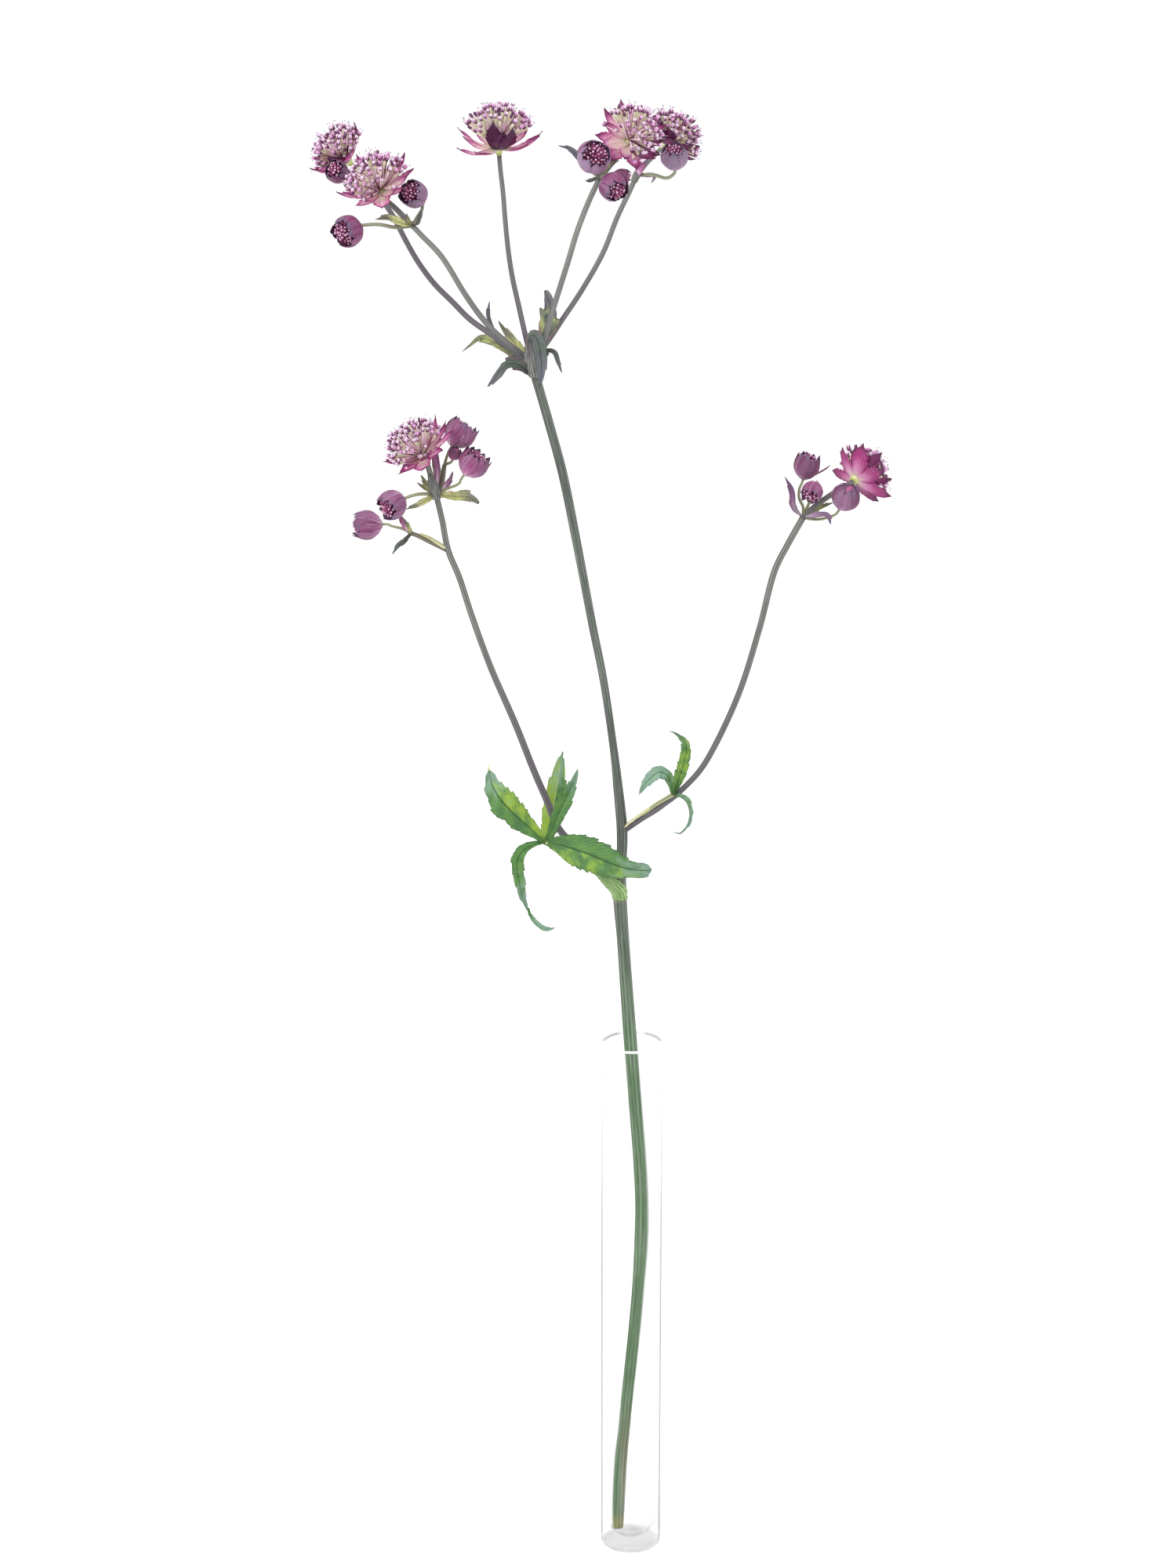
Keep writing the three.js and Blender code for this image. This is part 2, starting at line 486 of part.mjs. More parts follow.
function ruff({ base, axis, turn, bracts, reach, lift }) {
  const frame = frameOf(axis);
  const foot = vec(base);
  const points = [];
  const faces = [];
  const spot = (angle, radius, height) => foot.clone()
    .addScaledVector(outward(frame, angle), radius)
    .addScaledVector(frame.up, height);
  const pair = (point, normal) => {
    const half = normal.clone().multiplyScalar(BLADE / 2);
    const top = points.push(point.clone().add(half)) - 1;
    return { top, bottom: points.push(point.clone().sub(half)) - 1 };
  };
  const triangle = (a, b, c) => {
    faces.push([a.top, b.top, c.top], [a.bottom, c.bottom, b.bottom]);
  };
  const wall = (a, b) => faces.push([a.top, a.bottom, b.bottom], [a.top, b.bottom, b.top]);
  const sector = (2 * Math.PI) / bracts;
  const centre = { top: points.push(spot(0, 0, CUP_HEIGHT)) - 1, bottom: points.push(foot.clone()) - 1 };
  const angleOf = (i) => radians(turn) + sector * i;
  const lip = (angle) => pair(spot(angle, CUP_RADIUS, CUP_LIP), frame.up);
  const ring = Array.from({ length: 2 * bracts }, (_, k) => lip(angleOf(k / 2 - 0.5)));
  for (let i = 0; i < bracts; i += 1) {
    const out = outward(frame, angleOf(i));
    const across = frame.up.clone().cross(out);
    const length = reach * (1 + 0.09 * Math.sin(1.7 * i + turn)) - CUP_RADIUS;
    const rise = radians(lift + (i % 2 ? 5 : -4) + 3 * Math.sin(2.9 * i));
    const slope = out.clone().multiplyScalar(Math.cos(rise)).addScaledVector(frame.up, Math.sin(rise));
    const normal = frame.up.clone().multiplyScalar(Math.cos(rise)).addScaledVector(out, -Math.sin(rise));
    const root = spot(angleOf(i), CUP_RADIUS, CUP_LIP);
    let row = [ring[2 * i], ring[2 * i + 1], ring[(2 * i + 2) % ring.length]];
    for (const [along, share, fold] of BRACT_ROWS) {
      const middle = root.clone().addScaledVector(slope, along * length)
        .addScaledVector(normal, -4 * BRACT_BOW * length * along * (1 - along));
      const round = CUP_RADIUS + BRACT_ROWS[0][0] * length * Math.cos(rise);
      const half = share * BRACT_FILL * round * Math.tan(sector / 2);
      const edge = (sign) => middle.clone().addScaledVector(across, sign * half)
        .addScaledVector(normal, fold * half);
      const next = [pair(edge(-1), normal), pair(middle, normal), pair(edge(1), normal)];
      for (const k of [0, 1]) {
        triangle(row[k], next[k], next[k + 1]);
        triangle(row[k], next[k + 1], row[k + 1]);
      }
      wall(row[0], next[0]);
      wall(next[2], row[2]);
      row = next;
    }
    const tip = pair(root.clone().addScaledVector(slope, length), normal);
    triangle(row[0], tip, row[1]);
    triangle(row[1], tip, row[2]);
    wall(row[0], tip);
    wall(tip, row[2]);
    triangle(centre, ring[2 * i], ring[2 * i + 1]);
    triangle(centre, ring[2 * i + 1], ring[(2 * i + 2) % ring.length]);
  }
  return solidFrom(points, faces);
}

// A bloom's dome of florets: slim clubs that stand out of a small core

const CORE_PROFILE = [[0, 2.1], [1, 2.4], [6.6, 7.8], [5.2, 10.8], [0, 12]];
const CORE_SIDES = 6;
const FAN_HEIGHT = 1.2;        // height from which the florets' rays fan out
const CLUB_ROOT = 0.8;         // radius of a club where it leaves the core

function floretHead({ base, axis, turn, rays }) {
  const frame = frameOf(axis);
  const foot = vec(base);
  const fan = foot.clone().addScaledVector(frame.up, FAN_HEIGHT);
  const clubs = [];
  for (let i = 0; i < FLORETS; i += 1) {
    const share = Math.sqrt((i + 0.5) / FLORETS);
    const polar = radians(FLORET_SPREAD * share);
    const out = outward(frame, radians(turn + i * GOLDEN_ANGLE));
    const way = frame.up.clone().multiplyScalar(Math.cos(polar)).addScaledVector(out, Math.sin(polar));
    const length = rays * (1 - 0.1 * share * share + 0.05 * Math.sin(1.9 * i));
    const at = (s) => fan.clone().addScaledVector(way, s * length).toArray();
    clubs.push(spike([at(0.52), at(0.84), at(1.03)], [CLUB_ROOT, FLORET_RADIUS], 3));
  }
  return joined([turned(CORE_PROFILE, CORE_SIDES, foot, frame), ...clubs]);
}

// A bud: a globe of overlapping scales that bend in to pointed tips round its mouth

const BUD_RINGS = [[0.13, 0.62], [0.4, 1], [0.68, 0.93], [0.86, 0.7]];
const BUD_TIP = [1, 0.42];
const BUD_NOTCH = [0.84, 0.5];
const BUD_MOUTH = 0.74;
const BUD_GROOVE = 0.86;

function bud({ base, axis, width, length }) {
  const frame = frameOf(axis);
  const foot = vec(base);
  const columns = 2 * BUD_SCALES;
  const points = [];
  const place = (height, radius, k, skew) => {
    const out = outward(frame, (2 * Math.PI * (k + skew)) / columns);
    points.push(foot.clone().addScaledVector(frame.up, height * length).addScaledVector(out, radius * width));
  };
  for (const [height, radius] of BUD_RINGS) {
    for (let k = 0; k < columns; k += 1) {
      place(height, radius * (k % 2 ? BUD_GROOVE : 1), k, 0);
    }
  }
  for (let k = 0; k < columns; k += 1) {
    const [height, radius] = k % 2 ? BUD_NOTCH : BUD_TIP;
    place(height, radius, k, 0.25);
  }
  const mouth = points.push(foot.clone().addScaledVector(frame.up, BUD_MOUTH * length)) - 1;
  const heel = points.push(foot) - 1;
  const faces = [];
  const rings = BUD_RINGS.length;
  for (let j = 0; j < rings; j += 1) {
    for (let k = 0; k < columns; k += 1) {
      const a = j * columns + k;
      const b = j * columns + ((k + 1) % columns);
      faces.push([a, b, b + columns], [a, b + columns, a + columns]);
    }
  }
  for (let k = 0; k < columns; k += 1) {
    const after = (k + 1) % columns;
    faces.push([rings * columns + k, rings * columns + after, mouth], [after, k, heel]);
  }
  return solidFrom(points, faces);
}

const STALK_BEND = 2.2;        // length of a stalk's last stretch
const STALK_FLARE = 0.1;       // how much thicker a stalk is at its root
const BUD_STALK = 0.6;
const SMALL_BUD_STALK = 0.5;
const SMALL_BUD = 4;           // half the width below which a bud has the thin stalk

// The plant's stems and the bracts at their nodes in one body.
// extra makes a fatter copy, which cuts room for what grows on them.

function stems(extra) {
  const parts = [tube(MAIN_STEM.map((p) => p.slice(0, 3)), MAIN_STEM.map((p) => p[3] + extra), MAIN_SIDES)];
  for (const { points, root, tip } of BRANCHES) {
    parts.push(tube(points, taper(points.length, root + extra, tip + extra), BRANCH_SIDES));
  }
  for (const { base, axis, from, radius } of BLOOMS) {
    parts.push(stalk(base, axis, from, radius, BRANCH_SIDES, extra));
  }
  for (const { base, axis, from, width } of BUDS) {
    const radius = width < SMALL_BUD ? SMALL_BUD_STALK : BUD_STALK;
    parts.push(stalk(base, axis, from, radius, STALK_SIDES, extra));
  }
  parts.push(...NODE_BRACTS.map((one) => bract(one, extra)));
  return joined(parts);
}

// The last stretch of a stalk turns into the axis of what it carries and stops just short of it
function stalk(base, axis, from, radius, sides, extra) {
  const along = (distance) => vec(base).addScaledVector(unit(axis), distance).toArray();
  const points = [...from, along(-STALK_BEND), along(extra - GAP)];
  return tube(points, taper(points.length, radius + STALK_FLARE + extra, radius + extra), sides);
}

function palmateLeaf({ stalk: petiole, lobes }) {
  const { points, root, tip } = petiole;
  return joined([tube(points, taper(points.length, root, tip), BRANCH_SIDES), ...lobes.map(lobe)]);
}

// The vase: a straight tube with a thick foot and a round inner bottom

function vaseGeometry() {
  const inner = VASE_RADIUS - VASE_WALL;
  const arc = (cx, cy, r, from, to, steps) => Array.from({ length: steps + 1 }, (_, i) => {
    const angle = radians(from + ((to - from) * i) / steps);
    return new THREE.Vector2(Math.max(cx + r * Math.cos(angle), 0), cy + r * Math.sin(angle));
  });
  const profile = [
    new THREE.Vector2(0, 0),
    ...arc(VASE_RADIUS - VASE_FOOT_ROUND, VASE_FOOT_ROUND, VASE_FOOT_ROUND, -90, 0, 3),
    ...arc(VASE_RADIUS - VASE_RIM_ROUND, VASE_HEIGHT - VASE_RIM_ROUND, VASE_RIM_ROUND, 0, 90, 2),
    ...arc(inner + VASE_RIM_ROUND, VASE_HEIGHT - VASE_RIM_ROUND, VASE_RIM_ROUND, 90, 180, 2),
    ...arc(0, VASE_BOWL_CENTRE, inner, 0, -90, 6),
  ];
  const lathe = new THREE.LatheGeometry(profile, VASE_SIDES);
  lathe.rotateX(Math.PI / 2);
  return geometryFromSolid(solidFromGeometry(lathe));
}

// Materials

const GLASS = new THREE.MeshStandardMaterial({ color: 0xe8eeee, roughness: 0.05, metalness: 0 });
const STEM = new THREE.MeshStandardMaterial({ color: 0x6f8463, roughness: 0.6, metalness: 0 });
const LEAF = new THREE.MeshStandardMaterial({ color: 0x5f9447, roughness: 0.6, metalness: 0 });
const BRACT = new THREE.MeshStandardMaterial({ color: 0x8d4672, roughness: 0.7, metalness: 0 });
const FLORET = new THREE.MeshStandardMaterial({ color: 0xc9a9b4, roughness: 0.7, metalness: 0 });
const BUD = new THREE.MeshStandardMaterial({ color: 0x74375c, roughness: 0.6, metalness: 0 });
const SMALL_LEAF = new THREE.MeshStandardMaterial({ color: 0x5c6648, roughness: 0.65, metalness: 0 });

const model = new THREE.Group();

function place(name, geometry, material) {
  const mesh = new THREE.Mesh(geometry, material);
  mesh.name = name;
  model.add(mesh);
}

const room = stems(GAP);
const fitted = (solid) => geometryFromSolid(largest(solid.subtract(room)));

place('vase', vaseGeometry(), GLASS);
place('stem', geometryFromSolid(stems(0)), STEM);
for (const leaf of [LEFT_LEAF, RIGHT_LEAF]) {
  place(leaf.name, fitted(palmateLeaf(leaf)), LEAF);
}
for (const leaf of JUNCTION_LEAVES) {
  place(leaf.name, fitted(lobe(leaf)), SMALL_LEAF);
}
for (const bloom of BLOOMS) {
  place(`${bloom.name}_bracts`, fitted(ruff(bloom)), BRACT);
  place(`${bloom.name}_florets`, fitted(floretHead(bloom)), FLORET);
}
for (const one of BUDS) {
  place(one.name, fitted(bud(one)), BUD);
}

export default model;
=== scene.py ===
"""The looks of a cut masterwort stem in a narrow glass tube vase.

The plant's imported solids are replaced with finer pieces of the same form. Sizes are in millimetres until a
mesh is made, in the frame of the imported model: +Z up, origin at the centre of the vase's foot.
"""

from math import atan2, cos, degrees, hypot, pi, radians, sin, sqrt, tan

import bpy
import numpy as np
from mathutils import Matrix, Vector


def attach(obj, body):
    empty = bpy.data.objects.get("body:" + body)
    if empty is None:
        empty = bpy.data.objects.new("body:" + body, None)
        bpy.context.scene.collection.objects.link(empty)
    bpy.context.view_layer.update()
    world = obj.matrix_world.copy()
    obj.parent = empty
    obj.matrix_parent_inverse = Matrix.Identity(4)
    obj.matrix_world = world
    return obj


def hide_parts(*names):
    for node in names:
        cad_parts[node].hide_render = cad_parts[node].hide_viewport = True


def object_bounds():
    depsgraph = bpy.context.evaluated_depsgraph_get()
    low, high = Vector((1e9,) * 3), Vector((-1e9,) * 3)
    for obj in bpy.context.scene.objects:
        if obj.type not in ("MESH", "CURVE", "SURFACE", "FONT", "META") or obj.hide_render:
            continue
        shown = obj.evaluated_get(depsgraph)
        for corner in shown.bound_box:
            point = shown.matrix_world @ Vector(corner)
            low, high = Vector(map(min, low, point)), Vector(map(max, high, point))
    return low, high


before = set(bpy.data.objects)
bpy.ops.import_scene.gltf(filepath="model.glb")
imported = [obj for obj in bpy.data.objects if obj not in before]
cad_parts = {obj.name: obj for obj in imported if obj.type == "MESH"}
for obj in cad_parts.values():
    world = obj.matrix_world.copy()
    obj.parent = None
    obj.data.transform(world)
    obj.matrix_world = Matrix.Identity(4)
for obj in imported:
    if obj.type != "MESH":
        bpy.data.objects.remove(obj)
CAD_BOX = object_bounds()

MM = 0.001
GOLDEN_ANGLE = radians(137.508)
BOX_LOW, BOX_HIGH = np.array(CAD_BOX) / MM

# The photograph's camera, found from the vase's rim and foot

CAMERA_PLACE = (-18, -1406, 760)
CAMERA_PITCH = 16.8            # degrees below the horizon
FOCAL_PIXELS = 4700
PHOTO_HEIGHT = 2000
SENSOR = 36                    # millimetres, along the photograph's long side

# The vase

VASE_HEIGHT = 226
VASE_RADIUS = 12.5
VASE_WALL = 1.6
VASE_BOWL_CENTRE = 14          # height of the centre of the round inner bottom
VASE_FOOT_ROUND = 2
VASE_RIM_ROUND = 0.6

# Nodes of the plant

JUNCTION = (-39.7, -4, 506)
NODE_LOW = (-5.2, 8, 288)
NODE_HIGH = (-4.3, 8, 313)
NODE_LEFT = (-77.7, 12, 450.7)
NODE_RIGHT = (65.1, -12, 446.8)
NODE_TWIG = (-73.4, 18, 426.8)
NODE_FRONT = (-83.9, -22, 560.9)
NODE_BACK = (-98.3, 22, 565.5)
NODE_MID = (-13.6, -18, 578.2)
NODE_FAR = (0.7, 27, 573.3)
TWIG_END = (-88, 20, 433.2)
LEFT_FORK = (-74.4, 16, 461.6)

# The main stem, from its cut end up to the top junction: x, y, z, radius

MAIN_STEM = [
    (-5.4, -2.4, 7.6, 2.3), (-5.2, -2.2, 16, 2.6), (-4.9, -1.8, 25, 2.7), (-4.1, -1, 40, 2.7),
    (-3, -0.3, 51, 2.5), (-1.6, 0.4, 67, 2.5), (1.2, 1.8, 95, 2.55), (3, 2.8, 117, 2.6),
    (4.1, 3.8, 137, 2.9), (4.2, 4.6, 154, 2.8), (3.3, 5.4, 172, 2.75), (1.2, 6.6, 199, 2.7),
    (-0.9, 7.6, 226, 2.7), (-3.8, 8, 267, 2.5), (*NODE_LOW, 2.7), (-4.7, 8, 297, 2.1),
    (*NODE_HIGH, 2.2), (-6.1, 7, 333, 1.9), (-7.6, 6, 347, 1.6), (-12, 4, 378, 1.55),
    (-16.2, 2, 400, 1.6), (-22, -1, 432, 1.7), (-27.8, -3, 462, 1.8), (-33, -4, 482, 1.75),
    (-38.2, -4, 500.5, 1.8), (*JUNCTION, 1.9),
]

# Side branches and the rays of the top umbel: points, radius at the root and at the tip, how dusky they
# are along their length, from 0 to 1, and the kind of skin

LEFT_BRANCH = [
    NODE_LOW, (-16, 16, 297), (-29.8, 20, 310.5), (-34.6, 21, 322), (-39.5, 22, 333.5),
    (-47.3, 24, 353.5), (-57.2, 24, 377.5), (-64.6, 22, 399.5), (-69.1, 20, 415),
    NODE_TWIG, (-75.6, 15, 440), NODE_LEFT,
]
RIGHT_BRANCH = [
    (*NODE_HIGH, 1.35), (3, 4.8, 319.3, 1.3), (9.3, 2, 324.5, 1.5), (12.6, 0.2, 327.6, 1.45),
    (16.4, -2, 331, 1.2), (25.9, -8, 343, 1.2), (32, -12, 355, 1.2), (41.3, -18, 379, 1.2),
    (48.6, -20, 405, 1.22), (54.3, -18, 427.5, 1.25), (59.4, -16, 437.5, 1.25), (*NODE_RIGHT, 1.25),
]
RAY_BACK = [
    JUNCTION, (-43.9, -3, 508.5), (-54.6, 1, 515.4), (-63.5, 5, 521), (-70.2, 9, 527),
    (-77.4, 13, 533.5), (-83.7, 17, 541.3), (-88.1, 19, 548.6), (-93.9, 21, 559.4), NODE_BACK,
]
RAY_FRONT = [
    JUNCTION, (-43.4, -6, 509.3), (-49.5, -9, 514.8), (-55.1, -12, 520.6), (-59.8, -14.5, 526.8),
    (-64.9, -17, 534.8), (-73.3, -20, 549.2), (-80.5, -22, 557.3), NODE_FRONT,
]
RAY_CENTRE = [
    JUNCTION, (-42.4, -2, 517.5), (-44.6, 2, 526.6), (-47, 5, 536.9), (-48.5, 7, 546.2),
    (-49.6, 8, 556.9), (-50.6, 8.8, 570), (-51.4, 9.1, 577), (-51.9, 9.1, 583.6),
]
RAY_MID = [
    JUNCTION, (-35.1, -9, 515.5), (-31.3, -13, 528), (-25.4, -17, 547.2), (-22.2, -19, 558.1),
    (-17.5, -19, 570.2), NODE_MID,
]
RAY_FAR = [
    JUNCTION, (-33.1, 1, 513.7), (-28.8, 5, 519.6), (-20.2, 13, 531.3), (-12, 20, 544.8),
    (-6.6, 24, 557.8), (-1.2, 26, 568.9), NODE_FAR,
]
TWIG = [NODE_TWIG, (-79.9, 19, 429.7), (-85.2, 20, 432.1), TWIG_END]

BRANCH, STALK = 0, 1

BRANCHES = [
    (LEFT_BRANCH, 1.5, 1.15, (1, 0.9, 0.2, 0), BRANCH),
    (RIGHT_BRANCH, 1.25, 1.25, (1, 0.8, 0.3, 0.2), BRANCH),
    (RAY_BACK, 1.15, 1, (1, 1, 1, 0.9), BRANCH),
    (RAY_FRONT, 1.15, 1, (0.7, 0.4, 0.2, 0.1), BRANCH),
    (RAY_CENTRE, 1.05, 0.87, (1, 1, 0.7, 0.5, 0.2), BRANCH),
    (RAY_MID, 1.1, 1.05, (0.6, 0.35, 0.1, 0.05), BRANCH),
    (RAY_FAR, 1.05, 1, (1, 0.9, 0.6, 0.2), BRANCH),
    (TWIG, 1.1, 0.85, (1, 0.8), STALK),
    ([TWIG_END, (-90.3, 20, 437), (-91.6, 19, 440)], 0.8, 0.5, (0.6, 0.8), STALK),
    ([NODE_LEFT, (-75.6, 14, 454.7), LEFT_FORK], 1.2, 0.9, (1, 0.8), STALK),
]

# Tables. What a row has past the named values is in a dictionary

def named(keys, rows):
    """The rows of a table as dictionaries."""
    return [dict(zip(keys, row), **(row[len(keys)] if len(row) > len(keys) else {})) for row in rows]


# Open blooms: where the stalk meets the cup, the way the bloom faces, the bracts' first turn, number, length
# and lift above the cup's plane, the length of the florets' rays, and the stalk that leads there with its
# radius. lit moves the bracts' magenta outward, hang is how far they sag, dark gives how dusky single ones
# are, and stand their rise, length and duskiness. spread is the half angle of the dome of florets, blush the
# share of them that is pinker, olive how many more have an ovary, and flare how much the stalk widens. A gap
# in the florets has its middle, half its width, where it starts, and the share of florets missing

BLOOMS = named(("name", "base", "axis", "turn", "bracts", "reach", "lift", "rays", "stalk", "radius"), [
    # Its stand duskiness darkens the bracts on its right and front: partly their own dark plum, partly
    # painted shade
    ("bloom_back_left", (-110, 25, 578.5), (-0.62, -0.3, 0.72), 8, 14, 14.5, 24, 15, [NODE_BACK,
     (-103.7, 24, 571.3)], 0.85, dict(lit=0.4, gap=(235, 42, 0.5, 1), stand={8: (44, 1, 0.9),
     9: (52, 1, 0.9), 10: (40, 0.9, 0.7), 12: (56, 0.6, 1), 0: (38, 1, 0.3), 1: (34, 1, 0.2),
     13: (34, 1, 0.3)})),
    ("bloom_front_left", (-95.6, -17, 572.6), (-0.26, -0.56, 0.78), 0, 16, 16, 26, 15.5, [NODE_FRONT,
     (-90, -19.6, 566.8)], 0.95, dict(lit=0.8, gap=(305, 48, 0.5, 0.8))),
    ("bloom_centre", (-52, 9, 584.5), (-0.02, -0.1, 1), 14, 15, 17, 25, 18, [(-51.3, 9.1, 577)], 0.78,
     dict(flare=0, spread=54, blush=0.3, olive=0.8, hang=0.15, lit=1, gap=(272, 40, 0.62, 1),
     stand={9: (8, 0.92, 0.2), 10: (60, 1, 1), 11: (50, 0.66, 0.8), 12: (46, 0.95, 0.9), 8: (10, 1, 0.1),
     13: (18, 1, 0.1)})),
    ("bloom_front_right", (-2.6, -10, 590.6), (0.16, -0.8, 0.56), 5, 15, 15.2, 24, 15.5, [NODE_MID,
     (-9.6, -15, 582.7)], 0.95, dict(lit=0.7, gap=(215, 60, 0.3, 0.8), blush=0.15, dark={14: 0.9, 13: 0.5,
     0: 0.7})),
    ("bloom_back_right", (11, 29, 584), (0.72, 0.1, 0.68), 20, 14, 14, 24, 15, [NODE_FAR, (5, 28, 578.4)],
     0.9, dict(lit=0.4, dark={6: 0.8, 7: 1, 8: 0.9, 9: 0.8, 10: 0.6, 11: 0.7, 12: 0.5})),
    ("bloom_side_left", (-82.2, 8, 466), (-0.46, -0.42, 0.78), 10, 14, 15, 24, 15.5, [NODE_LEFT,
     (-79.6, 10, 458.6)], 1.05, dict(lit=0.2, gap=(290, 60, 0.5, 0.75), stand={0: (25, 1.3, 0),
     1: (27, 1.3, 0), 13: (20, 1.2, 0)})),
    ("bloom_side_right", (84.6, -6.5, 460), (0.6, 0.72, 0.34), 0, 13, 14.9, 28, 14.5, [NODE_RIGHT,
     (69.4, -10, 450.4), (77.8, -8, 456.1)], 1, dict(dark={0: 0.35, 7: 0.5, 9: 0.6, 11: 0.4, 3: 0.5})),
])

# Buds: the base, the way the mouth faces, half the width, the length, how far the mouth has opened, up to
# 1, and the stalk that leads there. haze is bluish, dusk is dark, run is how far the stalk's end is straight,
# and splay is one bract that stands off, with its turn, rise, length and half width

BUDS = named(("base", "axis", "width", "length", "gape", "stalk"), [
    ((-104.2, -23.5, 560.7), (-0.6, -0.78, -0.15), 6, 11.5, 0.5, [NODE_FRONT, (-90.3, -24, 560.6),
     (-96.5, -23.4, 561.6)], dict(haze=0.05)),
    ((-81.2, -14.3, 569.8), (-0.35, -0.78, 0.42), 5.2, 11.5, 0.5, [NODE_FRONT, (-82.2, -19.4, 563.6),
     (-80.4, -14.8, 566.4)], dict(haze=0.35, dusk=0.35)),
    ((-112, 7.8, 575.2), (-0.3, -0.75, 0.5), 4.4, 9.5, 0.4, [NODE_BACK, (-105.5, 16, 567.4),
     (-110.5, 11.4, 570.6)], dict(dusk=0.5)),
    ((-17.8, -23.4, 584.7), (0.35, -0.8, 0.45), 6.4, 11, 0.7, [NODE_MID, (-16.2, -19.6, 580.8)],
     dict(haze=0.45)),
    ((-11, -23.3, 579.1), (0.45, -0.72, -0.5), 5.6, 11, 0.5, [NODE_MID, (-12.8, -20.4, 579.4)],
     dict(haze=0.12)),
    ((15.3, 12.8, 577.9), (-0.05, -0.5, 0.85), 5.2, 11, 0.5, [NODE_FAR, (6.8, 21, 574.4),
     (12.6, 15.8, 573.8)], dict(haze=0.6)),
    ((-71.4, 16, 469), (0.55, 0.15, 0.83), 6.3, 12.5, 0.95, [LEFT_FORK, (-73.4, 16, 465)],
     dict(haze=0, dusk=0.1)),
    ((-66.3, 9, 459.2), (0.6, -0.1, 0.78), 6, 12, 0.7, [NODE_LEFT, (-73.3, 10, 453.3), (-68.4, 9, 455.7)]),
    ((-71, 12.6, 464.5), (0.3, -0.3, 0.9), 2.6, 5.5, 0.1, [LEFT_FORK]),
    ((-90.1, 6.6, 450), (-0.75, -0.6, -0.25), 5.9, 11.5, 0.5, [NODE_LEFT, (-84.3, 9, 451.4)]),
    ((-99.4, 20, 436.8), (-1, -0.1, 0), 5.9, 12.5, 0.4, [TWIG_END, (-91.3, 20, 435), (-95.6, 20, 436.1)]),
    ((65, -10, 461.4), (0.25, -0.05, 0.97), 5, 11.5, 0.6, [NODE_RIGHT, (65.2, -11, 450.6), (63.6, -10, 454),
     (63.8, -10, 458.3)], dict(dusk=0.5, splay=(15, 38, 10.5, 1.1))),
    ((70, -14, 461), (-0.4, -0.6, -0.7), 4.2, 8.5, 0.9, [NODE_RIGHT, (67.6, -9.4, 452), (70.6, -9.6, 458)],
     dict(haze=0, dusk=0, run=0.4)),
    ((79.2, -12, 450.2), (0.4, -0.25, 0.88), 5.6, 11.5, -0.4, [NODE_RIGHT, (70.4, -12, 446),
     (75, -12, 446.8), (77.6, -12, 447.9)], dict(haze=0.3, dusk=0.35)),
    ((-9, -19.4, 579.2), (0.97, -0.1, 0), 2.6, 7.5, 0.3, [NODE_MID], dict(haze=-0.2, dusk=0)),
])

# Leaf lobes: the midrib from base to tip, the way the upper face looks at base and tip, half the width,
# teeth on each side, how far the two halves fold up, and where along it is widest. depth is how deep the
# teeth cut, blunt how wide the tip stays, and scallops gives the scalloped side, their number and depth. The
# other values colour it: see leaf_material

LEAF_HUB = (-35.2, 0, 311)
RIGHT_HUB = (16, -4, 332.4)

LEFT_LEAF_STALK = [(-5.2, 8, 289), (-8.4, 5.6, 292.4), (-13.6, 2.6, 298), (-23, 1, 305.5), LEAF_HUB]
LOW_SHEATH = [(-5.1, 7.6, 285.2), (-5.4, 7.2, 287.8), (-7, 6, 291), (-10.4, 4, 295), (-15, 2.2, 299.4)]
LOW_FRINGE = [(-8, 6, 285.6), (-6.8, 5, 285), (-5, 4.8, 284.8), (-3, 5.6, 285.2), (-2.2, 7, 286)]
TIP_HOOK = [((-57.4, -1.4, 341), 0.5), ((-57.5, -1, 343), 0.3), ((-56.8, -1, 344.6), 0.22),
            ((-55.7, -1.4, 345), 0.12)]
RIGHT_LEAF_STALK = [(0.5, 5.6, 317.8), (4.6, 3.2, 322), (8.6, 0.6, 326.2), (12.4, -2, 329.6), RIGHT_HUB]
RIGHT_SHEATH = [(-2.4, 7.1, 314.8), (2.4, 5, 319), (6, 3.4, 322), (9.6, 1.8, 325.2), (14.2, -1.4, 329.6)]
RIGHT_FRINGE = [(17.4, -3.6, 330.4), (18.4, -4.2, 331.2), (19.6, -4.8, 332)]

# Kinds of skin on a leaf after its blade's

LEAF_STALK, LEAF_SHEATH, LEAF_HAIR = 1, 2, 3

